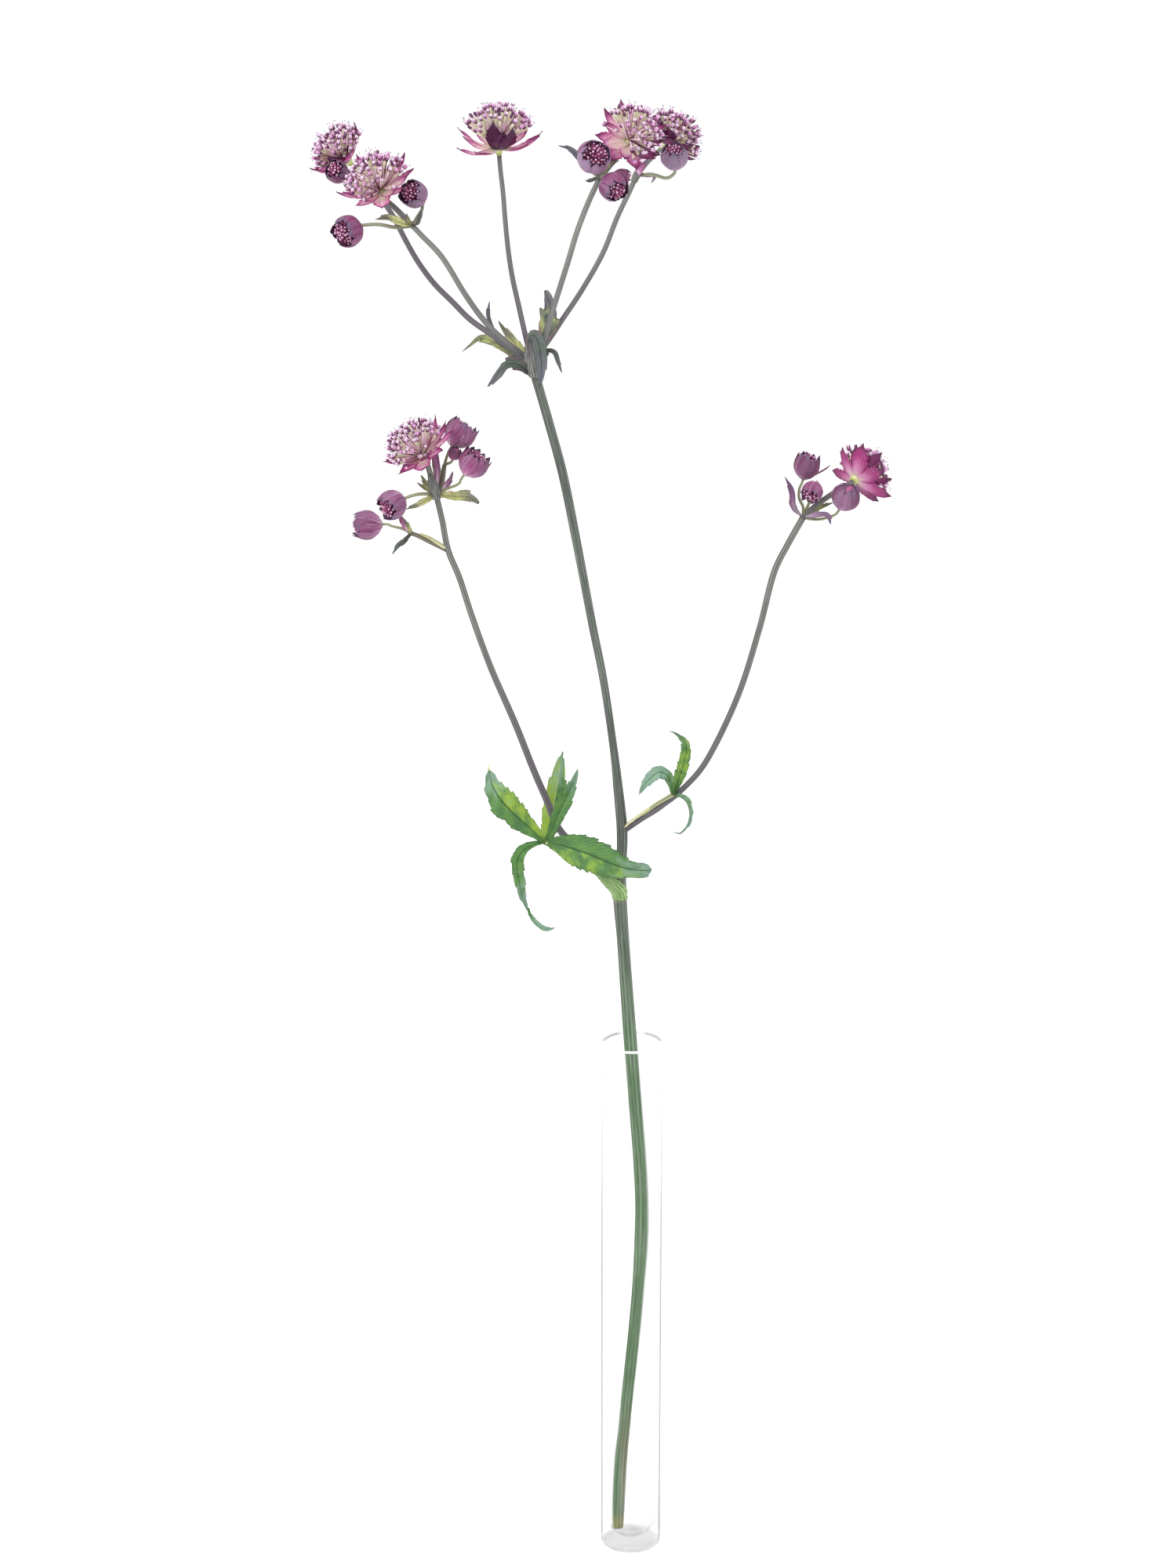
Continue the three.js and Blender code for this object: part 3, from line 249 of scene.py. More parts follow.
LOBE = ("points", "face", "half", "teeth", "fold", "widest")
LEFT_LOBES = named(LOBE, [
    ([LEAF_HUB, (-39, -1, 315.5), (-45, -3, 321.5), (-50, -5, 327.3), (-53.4, -6, 331.8), (-55.8, -5, 336),
     (-57.4, -2, 341.6)], [(0.2, -1, 0.3), (0.3, -1, -0.1)], 6.1, 10, 12, 0.62, dict(blunt=0.36, depth=0.24,
     sun=0.42, lit=0.32, scallops=(-1, 4, 0.34))),
    ([LEAF_HUB, (-34, 12, 311), (-33, 22.8, 313.4), (-31.8, 26.2, 320), (-30.4, 27, 328), (-29, 29, 337),
     (-28.2, 29, 340.5)], [(0, -0.7, 0.7), (0, -1, 0)], 4.9, 7, -22, 0.6,
     dict(blunt=0.12, sun=0.8, lit=-0.25, rib_pale=1)),
    ([LEAF_HUB, (-32.6, 3.5, 315), (-30, 7.5, 320.4), (-26.6, 10, 327), (-24, 11, 333), (-22, 12, 338.2)],
     [(0, -1, 0.2), (0.1, -1, 0)], 3.5, 5, 26, 0.5, dict(sun=0.1)),
    ([LEAF_HUB, (-30, -2.4, 311), (-25, -4, 310), (-17.5, -6, 308), (-10, -7, 305), (-3.6, -7, 302.6),
     (4, -5.5, 301), (7.4, -4, 300.6)], [(0, -1, 0.35), (0, -1, 0.2)], 7.3, 11, 10, 0.4,
     dict(blunt=0.42, depth=0.18, sun=0.3, lit=0.22)),
    ([LEAF_HUB, (-40, -3, 311), (-44, -5, 309), (-46.2, -6, 305.5), (-46.2, -6, 301), (-45.5, -6, 296),
     (-44.6, -5, 290.5), (-42.6, -4, 285), (-41.6, -4, 282.4)], [(0, -0.4, 1), (0.5, -1, 0)], 3.1, 8, 24,
     0.42, dict(sun=0.1, lit=-0.1, sheen=0.12)),
    ([(-42.4, -4, 284.6), (-41.4, -4.4, 281.6), (-38.4, -5, 278), (-35, -6, 276.4), (-31.3, -6, 277)],
     [(0.8, -0.6, 0.6), (0.2, -1, 0.4)], 1.5, 4, 34, 0.6, dict(blunt=0.2, sun=0.2, sheen=0.5, rib_pale=1)),
])
RIGHT_LOBES = named(LOBE, [
    ([RIGHT_HUB, (18.4, -1, 338.5), (20.1, 0.5, 343.5), (21.1, 1.5, 348), (20.8, 2, 352), (17.3, 1, 356),
     (14.3, 0, 357.4)], [(-0.3, -1, 0.2), (-0.5, -1, -0.2)], 2.8, 9, 18, 0.36, dict(sun=0.55)),
    ([RIGHT_HUB, (15, -6, 337), (13.6, -8, 341.2), (10.4, -9, 343.2), (7.2, -9, 341), (4.8, -8, 338),
     (2.2, -7, 333.2)], [(-0.6, -1, 0.1), (-0.2, -1, 0.5)], 2.7, 7, 16, 0.55,
     dict(depth=0.18, sun=-0.3, sheen=0.45)),
    ([RIGHT_HUB, (19.4, -7.4, 332), (21.2, -8.6, 330.6), (22.2, -9, 327.6), (22.4, -9, 324.6),
     (21.6, -9, 321.8), (20, -8, 319), (18.2, -8, 317.4), (16, -8, 318)], [(0.2, -0.6, 1), (1, -0.6, 0.1)],
     1.7, 6, 40, 0.3, dict(sun=-0.2, sheen=0.6, rib_pale=1)),
])
JUNCTION_LEAVES = named(LOBE, [
    ([(-37.9, -5.7, 501), (-38.9, -8.6, 508.6), (-39.2, -11, 517.6), (-37.4, -13.4, 516.6),
     (-36, -14.6, 510), (-35.8, -14.2, 504), (-36.6, -13, 497.6)], [(0, -0.6, 0.8), (0.1, -1, 0.1)], 2.7, 5,
     14, 0.6, dict(depth=0.16, sheen=0.1)),
    ([(-36.8, -4.2, 502.4), (-33.6, -7.4, 510.6), (-31, -9.6, 510.6), (-29.4, -10.4, 507),
     (-27.9, -10.6, 503)], [(0, -0.7, 0.8), (0.8, -1, 0.2)], 1.4, 2, 16, 0.5),
    ([(-37.6, 0.2, 508.2), (-35, 1.4, 515.2), (-33, 2.4, 521), (-32.8, 3.4, 527), (-34.4, 4.4, 532.4)],
     [(-0.1, -1, 0.1), (-0.1, -1, 0.1)], 4.6, 2, 12, 0.5, dict(depth=0.5, blunt=0.3, sun=0.5, sheen=0.1)),
    ([(-40.3, -5.3, 501.8), (-45.6, -10.4, 506.6), (-49.8, -13, 506), (-52.7, -14, 502.6),
     (-56, -15, 498.6)], [(0, -1, 0.5), (-0.2, -1, 0.3)], 3.1, 2, 10, 0.36,
     dict(depth=0.6, blunt=0.1, sun=0.3)),
    ([(-40.6, -3.2, 502.4), (-48.4, 7, 508), (-54, 11, 511), (-60, 13, 512), (-63.7, 13, 509.5),
     (-66.9, 13, 507)], [(-0.2, -0.7, 0.8), (-0.4, -1, 0.4)], 2.5, 2, 18, 0.42, dict(depth=0.4, sun=0.75)),
])

# Small bracts that grow from the stem at its nodes, with how green each is, from 0 to 1, and plum for one
# like a bud's, with its bluish haze. Then the sheaths there: line, radii, side, arc, thickness, kind

GREEN, GREY, PLUM, PALE, STRIPY = range(5)
NODE_BRACTS = named(("points", "face", "half", "green"), [
    ([JUNCTION, (-45.4, 0, 511.6), (-49.4, 4, 516), (-52.6, 6, 520.4)], (-0.2, -1, 0.5), 2.2, 1,
     dict(widest=0.4)),
    ([(-54.6, 6, 517.2), (-56.4, 7, 522), (-56, 7, 527.6)], (-0.2, -1, 0.1), 1, 0.1, dict(sheen=0.4)),
    ([NODE_MID, (-19.4, -15.6, 583.6), (-24.6, -15, 588.4), (-29.2, -15, 590)], (0, -1, 0.6), 1.7, 0.1,
     dict(sheen=0.5)),
    ([NODE_FRONT, (-88, -25.6, 562.4), (-92.8, -27, 564.6), (-97.6, -27.4, 564)], (0, -1, 0.8), 1.9, 0.9),
    ([NODE_FRONT, (-82, -24.4, 562.6), (-80, -24.6, 568.2)], (0.8, -1, 0), 1.2, 0.2),
    ([NODE_FRONT, (-85, -24.2, 563), (-86, -24.6, 566)], (0, -1, 0), 0.8, 0.6),
    ([NODE_MID, (-12.4, -15.4, 582), (-9, -13.8, 587.2)], (0.3, 1, 0.2), 1.5, 0.8),
    ([NODE_MID, (-17.4, -16, 576.8), (-19.2, -15.4, 577)], (0, -1, 1), 1.2, 0.3),
    ([NODE_MID, (-10.6, -17.2, 582), (-6.4, -16.6, 584.6)], (0.2, -0.4, 1), 1.3, 0.5),
    ([NODE_FAR, (2, 24.4, 575.6), (5, 24, 580)], (-0.6, -1, 0), 1.8, 0.1, dict(plum=0.1)),
    ([NODE_FAR, (4, 24, 573.6), (7.6, 22.4, 573.4), (6.4, 21.8, 571)], (0, -1, 1), 1.3, 0.2, dict(plum=0.9)),
    ([NODE_LEFT, (-81, 12, 454.6), (-83.6, 12, 458.4)], (-0.4, -1, 0.2), 1.4, 0.8, dict(blunt=0.3)),
    ([NODE_LEFT, (-82, 13.4, 452.6), (-85.2, 14, 455)], (0, -0.6, 1), 1.2, 0.7, dict(blunt=0.3)),
    ([NODE_LEFT, (-83, 5.4, 448.6), (-89.3, 3, 446.6)], (0, -1, 0.8), 1.6, 1),
    ([NODE_LEFT, (-73, 14.4, 455), (-71, 13, 459.6)], (0.4, -1, 0.1), 1.4, 0.1, dict(plum=0.3)),
    ([NODE_LEFT, (-70.6, 7.6, 450.8), (-65, 5.6, 451), (-60.6, 5, 448.6)], (0, -1, 0.8), 2.9, 0.95,
     dict(teeth=3, depth=0.42, blunt=0.46, widest=0.62)),
    ([NODE_LEFT, (-77, 15.4, 457), (-77.6, 15, 463), (-78.4, 14, 469)], (-0.3, -1, 0.1), 2.1, 0.9,
     dict(blunt=0.3, widest=0.4)),
    ([NODE_LEFT, (-77, 14.4, 459), (-77.6, 13.4, 465.4), (-78.4, 12, 470.4)], (-0.3, -1, 0.1), 1.7, 0.1,
     dict(plum=0.1, widest=0.7, blunt=0.4)),
    ([NODE_RIGHT, (61.6, -13.6, 452), (60.8, -14, 458), (57.6, -14, 463.4)], (-0.9, -1, 0), 1.9, 0.1,
     dict(plum=0.55, dusk=0.7)),
    ([NODE_RIGHT, (69, -15.6, 448), (74.2, -16.4, 448.4), (75.8, -16.6, 445)], (0, -0.6, 1), 2, 0.1,
     dict(plum=0.75, dusk=0.45)),
    ([NODE_RIGHT, (71.4, -8.4, 449.4), (77.2, -6.6, 451.6)], (-0.1, -0.6, 1), 1.5, 1),
    ([TWIG_END, (-90.4, 17.4, 430.6), (-92.8, 16.4, 429), (-95.4, 15.6, 425.8)], (-0.6, -1, 0.5), 1.4, 0.3,
     dict(teeth=4, depth=0.1, blunt=0.25)),
    ([TWIG_END, (-90.6, 17.6, 437.4), (-92.6, 17, 442)], (-0.8, -1, 0.2), 1.5, 0.2, dict(plum=0)),
    ([TWIG_END, (-89, 16.6, 436.4), (-90.4, 16, 440)], (0.6, -1, 0.2), 1.1, 0.9),
])
NODE_SHEATHS = [
    ([(-74.4, 17.4, 427.4), (-77.6, 18.4, 428.8), (-81, 19, 430.6), (-85, 19.6, 432.4)],
     (1.2, 1.5, 1.5, 1.1), (-0.2, 0, 1), (75, 50), 0.22, PALE),
    ([(-77.3, 11.4, 449.4), (-78, 10.8, 452.6), (-79, 10.2, 456), (-80, 9.6, 459.4)],
     (1.9, 2.1, 1.9, 1.2), (-0.1, -1, 0.2), (115, 40), 0.25, STRIPY),
    ([(-38.4, -4.6, 501), (-39, -5.8, 505), (-39.6, -7, 510), (-39.8, -8, 514.6), (-39.2, -8, 519)],
     (2.3, 2.9, 2.9, 2.2, 0.9), (-0.15, -1, 0.1), (105, 50), 0.28, STRIPY),
    ([(-0.2, 26.4, 571), (0.8, 26.6, 573.4), (2.4, 26.8, 576)],
     (1.2, 1.5, 1.2), (0, -1, 0.2), (105, 70), 0.25, STRIPY),
]

# Shapes of the small organs, as (place, half width) or (radius, height)

BRACT_OUTLINE = [(0, 0.5), (0.2, 0.74), (0.42, 0.96), (0.56, 1), (0.7, 0.86), (0.82, 0.5), (0.9, 0.24),
                 (1, 0.02)]
BUD_OUTLINE = [(0, 0.7), (0.3, 1), (0.6, 1), (0.8, 0.8), (0.92, 0.4), (1, 0.03)]
BUD_CORE = [(0.2, 0.1), (0.78, 0.34), (0.84, 0.58), (0.56, 0.82), (0.12, 0.93)]
BUD_GLOBE = [(0.2, -3), (0.5, -0.9), (0.62, -0.2), (0.5, 0.35), (0.2, 0.55)]
CUP = [(0.85, -1.3), (1.05, -0.7), (1.4, 0), (1.8, 0.7), (1.95, 1.1), (1.7, 1.5), (1, 1.75), (0.05, 1.8)]
OVARY_SHAPE = [(0.14, 0), (0.34, 0.7), (0.5, 2), (0.56, 3.1), (0.46, 3.9), (0.36, 4.25)]
CALYX_SHAPE = [(0.18, -0.3), (0.4, 0), (0.54, 0.4), (0.46, 0.7)]
KNOB_SHAPE = [(0.4, 0.3), (0.56, 0.7), (0.6, 1.1), (0.46, 1.5), (0.2, 1.75)]
CUP_RADIUS = 2.3
CUP_LIP = 1.1
HEAD = 2                       # a floret above the top of its ovary
OVARY_LENGTH = 4.2
STAMEN_ROOM = 0.35             # kept between a stamen's end and the box of the solids
FLORETS = 114
FLORET_SPREAD = 62             # degrees from the axis to the outermost florets
WEDGES = 5                     # groups of fertile florets, seen as pale wedges
BUD_BRACTS = 11
THIN_STALK, THICK_STALK = 0.48, 0.6
THICK_STALKED = (1, 2, 6, 10)  # the numbers of the buds on thick stalks
THIN_EDGE = 0.35               # of a sheet's thickness, at its margins
SAW_TOP = 0.82                 # where a tooth is highest, from 0 to 1

# The start of each random draw

LEFT_SEED, RIGHT_SEED, JUNCTION_SEED, NODE_SEED = 11, 21, 31, 41
LEFT_HAIR_SEED, RIGHT_HAIR_SEED = 71, 72
RUFF_SEED, FLORET_SEED, BUD_SEED = 101, 201, 301

# Light: name, place in metres, size and power of each lamp, and the brightness all round

LAMPS = [("key", (-0.9, -1.1, 1.7), 1.2, 28), ("fill", (1.3, -0.6, 1.0), 1.0, 6)]
LAMP_TARGET = (0, 0, 0.35)
SKY = 1.08


# Vectors and lines

def unit(v):
    v = np.asarray(v, float)
    return v / np.linalg.norm(v, axis=-1, keepdims=True)


def distances(line, power=1):
    """How far along a line each of its points is, with its steps raised to a power."""
    steps = np.linalg.norm(np.diff(line[:, :3], axis=0), axis=1) ** power
    return np.concatenate([[0], np.cumsum(steps)])


def lerp(t, low, high, a, b):
    return ((high - t) * a + (t - low) * b) / (high - low)


def smooth_line(points, count):
    """A centripetal Catmull-Rom curve through points, at count even distances. Columns after the third,
    such as a radius, are carried along."""
    p = np.asarray(points, float)
    p = np.vstack([2 * p[0] - p[1], p, 2 * p[-1] - p[-2]])
    knots = distances(p, 0.5)
    dense = []
    for k in range(1, len(p) - 2):
        a, b, c, d = p[k - 1:k + 3]
        ta, tb, tc, td = knots[k - 1:k + 3]
        t = np.linspace(tb, tc, 16, endpoint=k == len(p) - 3)[:, None]
        middle = lerp(t, tb, tc, b, c)
        early = lerp(t, ta, tc, lerp(t, ta, tb, a, b), middle)
        late = lerp(t, tb, td, middle, lerp(t, tc, td, c, d))
        dense.append(lerp(t, tb, tc, early, late))
    dense = np.vstack(dense)
    walked = distances(dense)
    even = np.linspace(0, walked[-1], count)
    return np.stack([np.interp(even, walked, column) for column in dense.T], axis=1)


def tangents(line):
    return unit(np.gradient(line, axis=0))


def carried_frames(line):
    """A side and an up vector at each point, turned as little as possible along the line."""
    along = tangents(line)
    side = np.cross((0, 1, 0), along[0])
    if np.linalg.norm(side) < 0.1:
        side = np.array((1.0, 0, 0))
    sides = []
    for tangent in along:
        side = unit(side - tangent * side.dot(tangent))
        sides.append(side)
    sides = np.array(sides)
    return sides, np.cross(along, sides)


def axis_frame(axis):
    """Two directions across an axis and the axis itself, as the rows of a matrix."""
    up = unit(axis)
    across = np.cross((0, 1, 0), up)
    if np.linalg.norm(across) < 0.2:
        across = np.array((1.0, 0, 0))
    across = unit(across - up * across.dot(up))
    return np.array([across, np.cross(up, across), up])


def around(axes, angle):
    """The direction across an axis at an angle."""
    return axes[0] * cos(angle) + axes[1] * sin(angle)


def full_turn(sides):
    return np.linspace(0, 2 * pi, sides, endpoint=False)


def ringed(centres, side, up, radius, turn):
    """Points round each centre, at a radius and at a turn from its side vector towards its up vector."""
    return (centres[:, None] + side[:, None] * (radius * np.cos(turn))[..., None]
            + up[:, None] * (radius * np.sin(turn))[..., None])


# Meshes

class Body:
    """Points, faces, face coordinates and values at the points, collected for one mesh."""

    def __init__(self):
        self.points = []
        self.faces = []
        self.values = []
        self.count = 0

    def add(self, points, blocks, material=0, **values):
        """blocks holds (corner indices, coordinates of the corners), each with the same number of corners."""
        for corners, spots in blocks:
            self.faces.append((corners + self.count, spots, material))
        self.points.append(points)
        self.values.append({k: np.broadcast_to(v, len(points)) for k, v in values.items()})
        self.count += len(points)

    def build(self, name, materials, nodes):
        """Makes the mesh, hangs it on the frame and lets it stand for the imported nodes."""
        mesh = bpy.data.meshes.new(name)
        corners, spots, kinds = zip(*self.faces)
        counts = [len(block) for block in corners]
        sizes = np.repeat([block.shape[1] for block in corners], counts)
        for holder, count, columns in (
            (mesh.vertices, self.count, {"co": np.vstack(self.points) * MM}),
            (mesh.loops, sizes.sum(), {"vertex_index": np.concatenate([c.ravel() for c in corners])}),
            (mesh.polygons, len(sizes), {"loop_start": np.cumsum(sizes) - sizes,
                                         "material_index": np.repeat(kinds, counts),
                                         "use_smooth": np.ones(len(sizes), bool)}),
        ):
            holder.add(count)
            for key, column in columns.items():
                holder.foreach_set(key, column.ravel().astype(np.float32 if key == "co" else column.dtype))
        spots = np.concatenate([s.reshape(-1, 2) for s in spots])
        mesh.uv_layers.new(name="grain").data.foreach_set("uv", spots.astype(np.float32).ravel())
        for key in sorted({k for block in self.values for k in block}):
            parts = [block.get(key, np.zeros(len(p))) for block, p in zip(self.values, self.points)]
            made = mesh.attributes.new(key, "FLOAT", "POINT")
            made.data.foreach_set("value", np.concatenate(parts).astype(np.float32))
        for material in materials:
            mesh.materials.append(material)
        mesh.update()
        mesh.validate()
        piece = bpy.data.objects.new(name, mesh)
        bpy.context.scene.collection.objects.link(piece)
        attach(piece, "root")
        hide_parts(*nodes)
        return piece


def grid_block(rows, columns, u, v, closed=False, flip=False, start=0):
    """Quads over a grid of points, with u along the columns and v along the rows as coordinates."""
    i, j = np.meshgrid(np.arange(rows - 1), np.arange(columns if closed else columns - 1), indexing="ij")
    i, j = i.ravel(), j.ravel()
    steps = ((0, 0), (0, 1), (1, 1), (1, 0))
    corners = np.stack([(i + a) * columns + (j + b) % columns for a, b in steps], axis=1) + start
    spots = np.stack([np.stack([u[j + b], v[i + a]], 1) for a, b in steps], axis=1)
    if flip:
        return corners[:, ::-1], spots[:, ::-1]
    return corners, spots


def add_rings(body, rings, v, material=0, **values):
    """A closed body through rings of points, with flat ends. Ring points turn to the right along it. A
    value may be a number, or a row with a number for each ring."""
    rows, sides = rings.shape[:2]
    blocks = [grid_block(rows, sides, np.linspace(0, 1, sides + 1), v, closed=True)]
    k = np.arange(sides)
    after = (k + 1) % sides
    low, last = rows * sides, (rows - 1) * sides
    for corners, height in (((np.full(sides, low), after, k), v[0]),
                            ((np.full(sides, low + 1), last + k, last + after), v[-1])):
        blocks.append((np.stack(corners, axis=1), np.tile((0.5, height), (sides, 3, 1))))
    for key, value in values.items():
        if np.ndim(value):
            values[key] = np.concatenate([np.repeat(value, sides), [value[0], value[-1]]])
    points = np.vstack([rings.reshape(-1, 3), rings[0].mean(0), rings[-1].mean(0)])
    body.add(points, blocks, material, **values)


def add_tube(body, points, root, tip, sides, step, material=0, ridges=0, depth=0.0, tones=(0, 0)):
    """A tapered stem through points. Where points have a fourth column it is the radius. tones are values
    of tone at even distances along it."""
    rough = distances(np.asarray(points, float))[-1]
    line = smooth_line(points, max(int(rough / step), 3))
    walked = distances(line)
    radii = line[:, 3] if line.shape[1] > 3 else root + (tip - root) * walked / walked[-1]
    angle = full_turn(sides)
    ribbed = radii[:, None] * (1 + depth * np.cos(ridges * angle))
    rings = ringed(line[:, :3], *carried_frames(line[:, :3]), ribbed, angle)
    tone = np.interp(walked / walked[-1], np.linspace(0, 1, len(tones)), tones)
    add_rings(body, rings, walked / 100, material, tone=tone)


def add_bent(body, knots, sides, material, **values):
    """A slim body through knots of (place, radius)."""
    places = np.array([place for place, _ in knots], float)
    wide = np.array([radius for _, radius in knots])[:, None]
    rings = ringed(places, *carried_frames(places), wide, full_turn(sides))
    add_rings(body, rings, np.linspace(0, 1, len(knots)), material, **values)


def add_turned(body, stops, sides, base, axes, material=0, lobes=0, depth=0.0, **values):
    """A body turned from (radius, height) stops, standing at base along the last of its axes."""
    radius, height = np.array(stops, float).T
    angle = full_turn(sides)
    wide = radius[:, None] * (1 + depth * np.cos(lobes * angle))
    rings = ringed(base + height[:, None] * axes[2], axes[:1], axes[1:2], wide, angle)
    add_rings(body, rings, (height - height[0]) / (height[-1] - height[0]), material, **values)


def add_sheet(body, sheet, thickness, material=0, **values):
    """A thin closed solid round a grid of points: rows run along it, columns across it. u is 0 to 1
    across and v is 0 to 1 along. The value inner is 1 on the upper face, and margin is 1 at its edges."""
    rows, columns = sheet.shape[:2]
    normal = np.cross(np.gradient(sheet, axis=1), np.gradient(sheet, axis=0))
    normal /= np.maximum(np.linalg.norm(normal, axis=-1, keepdims=True), 1e-9)
    edge = np.ones((rows, columns))
    edge[:, [0, -1]] = THIN_EDGE
    edge[-1] = THIN_EDGE
    shift = normal * (edge * thickness / 2)[..., None]
    u, v = np.linspace(0, 1, columns), np.linspace(0, 1, rows)
    size = rows * columns
    blocks = [grid_block(rows, columns, u, v), grid_block(rows, columns, u, v, flip=True, start=size)]
    grid = np.arange(size).reshape(rows, columns)
    for line, spots in (
        (grid[:, 0], np.stack([np.zeros(rows), v], 1)),
        (grid[::-1, -1], np.stack([np.ones(rows), v[::-1]], 1)),
        (grid[0, ::-1], np.stack([u[::-1], np.zeros(columns)], 1)),
        (grid[-1], np.stack([u, np.ones(columns)], 1)),
    ):
        wall = np.stack([line[:-1], line[1:], line[1:] + size, line[:-1] + size], axis=1)
        blocks.append((wall, np.stack([spots[:-1], spots[1:], spots[1:], spots[:-1]], axis=1)))
    body.add(np.vstack([(sheet + shift).reshape(-1, 3), (sheet - shift).reshape(-1, 3)]), blocks, material,
             inner=np.repeat([1.0, 0.0], size), margin=np.tile(np.abs(np.linspace(-1, 1, columns)), 2 * rows),
             **values)


def profile(stops, s):
    """A smooth curve through (place, value) stops."""
    places, heights = np.array(stops, float).T
    at = np.interp(s, places, np.arange(len(places)))
    k = np.clip(at.astype(int), 0, len(places) - 2)
    f = at - k
    slope = np.gradient(heights)
    return ((2 * f**3 - 3 * f**2 + 1) * heights[k] + (f**3 - 2 * f**2 + f) * slope[k]
            + (-2 * f**3 + 3 * f**2) * heights[k + 1] + (f**3 - f**2) * slope[k + 1])


# Materials. Colours are from 0 to 255, as they show on a screen

def tint(colour):
    """A colour in the renderer's linear values."""
    screen = np.array(colour) / 255
    linear = np.where(screen <= 0.04045, screen / 12.92, ((screen + 0.055) / 1.055) ** 2.4)
    return (*linear.tolist(), 1.0)


class Value:
    """A number or colour on its way through a material."""

    def __init__(self, shade, socket):
        self.shade = shade
        self.socket = socket

    def math(self, operation, *others):
        return self.shade.value("ShaderNodeMath", (self, *others), operation=operation)

    def __add__(self, other):
        return self.math("ADD", other)

    def __sub__(self, other):
        return self.math("SUBTRACT", other)

    def __rsub__(self, other):
        return self.shade.value("ShaderNodeMath", (other, self), operation="SUBTRACT")

    def __mul__(self, other):
        return self.math("MULTIPLY", other)

    def between(self, low, high, to_low=0.0, to_high=1.0):
        """Goes smoothly from to_low to to_high, as the number goes from low to high."""
        return self.shade.value("ShaderNodeMapRange", (self, low, high, to_low, to_high),
                                interpolation_type="SMOOTHSTEP")


class Shade:
    """One material, with short calls for its nodes. Inputs may be values, sockets, numbers or colours."""

    def __init__(self, name):
        self.material = bpy.data.materials.new(name)
        self.material.use_nodes = True
        self.tree = self.material.node_tree
        self.tree.nodes.clear()
        self.colour = None

    def node(self, kind, inputs=(), **settings):
        """A node with its inputs in order, or by number or name."""
        made = self.tree.nodes.new(kind)
        for key, value in settings.items():
            setattr(made, key, value)
        for key, value in inputs.items() if isinstance(inputs, dict) else enumerate(inputs):
            if isinstance(value, Value):
                value = value.socket
            if isinstance(value, bpy.types.NodeSocket):
                self.tree.links.new(value, made.inputs[key])
            elif isinstance(value, tuple) and len(value) == 3:
                made.inputs[key].default_value = tint(value)
            else:
                made.inputs[key].default_value = value
        return made

    def value(self, kind, inputs=(), output=0, **settings):
        return Value(self, self.node(kind, inputs, **settings).outputs[output])

    def mix(self, share, first, second):
        return self.value("ShaderNodeMix", {0: share, 6: first, 7: second}, 2, data_type="RGBA")

    def coat(self, share, colour):
        """Lays a colour over what is there."""
        self.colour = self.mix(share, self.colour, colour)

    def ramp(self, value, *stops):
        made = self.node("ShaderNodeValToRGB", (value,))
        elements = made.color_ramp.elements
        elements.new(0.5)
        for element, (place, colour) in zip(elements, stops):
            element.position = place
            element.color = tint(colour)
        return Value(self, made.outputs[0])

    def point(self, name):
        """A value at the mesh's points."""
        return self.value("ShaderNodeAttribute", output="Fac", attribute_name=name)

    def split(self, vector):
        parts = self.node("ShaderNodeSeparateXYZ", (vector,))
        return [Value(self, part) for part in parts.outputs]

    def grain(self):
        """The two coordinates laid along the piece."""
        return self.split(self.value("ShaderNodeUVMap", uv_map="grain"))[:2]

    def place(self):
        return self.value("ShaderNodeTexCoord", output="Object")

    def vector(self, *parts):
        return self.value("ShaderNodeCombineXYZ", parts)

    def noise(self, vector, scale, detail=2):
        return self.value("ShaderNodeTexNoise", {"Vector": vector, "Scale": scale, "Detail": detail}, "Fac")

    def weave(self, x, y, z, detail):
        """Noise whose scale differs along three values."""
        return self.noise(self.vector(x, y, z), 1, detail)

    def cells(self, vector, scale):
        """Distance to the nearest edge between irregular cells."""
        return self.value("ShaderNodeTexVoronoi", {"Vector": vector, "Scale": scale}, "Distance",
                          feature="DISTANCE_TO_EDGE")

    def end(self, skin, share=0, other=None):
        """The material's surface: one shader, or that with a share of another."""
        surface = skin.outputs[0]
        if other is not None:
            surface = self.node("ShaderNodeMixShader", (share, surface, other.outputs[0])).outputs[0]
        self.node("ShaderNodeOutputMaterial", {"Surface": surface})
        return self.material

    def finish(self, roughness, gloss, height=None, depth=0.0, glow=None, share=0):
        """A surface with relief, and with a share of light that comes through from behind."""
        relief = {}
        if height is not None:
            bump = self.node("ShaderNodeBump", {"Strength": 1, "Distance": depth * MM, "Height": height})
            relief = {"Normal": bump.outputs[0]}
        skin = self.node("ShaderNodeBsdfPrincipled", {"Base Color": self.colour, "Roughness": roughness,
                                                      "Specular IOR Level": gloss, **relief})
        if glow is None:
            return self.end(skin)
        return self.end(skin, share, self.node("ShaderNodeBsdfTranslucent", {"Color": glow, **relief}))


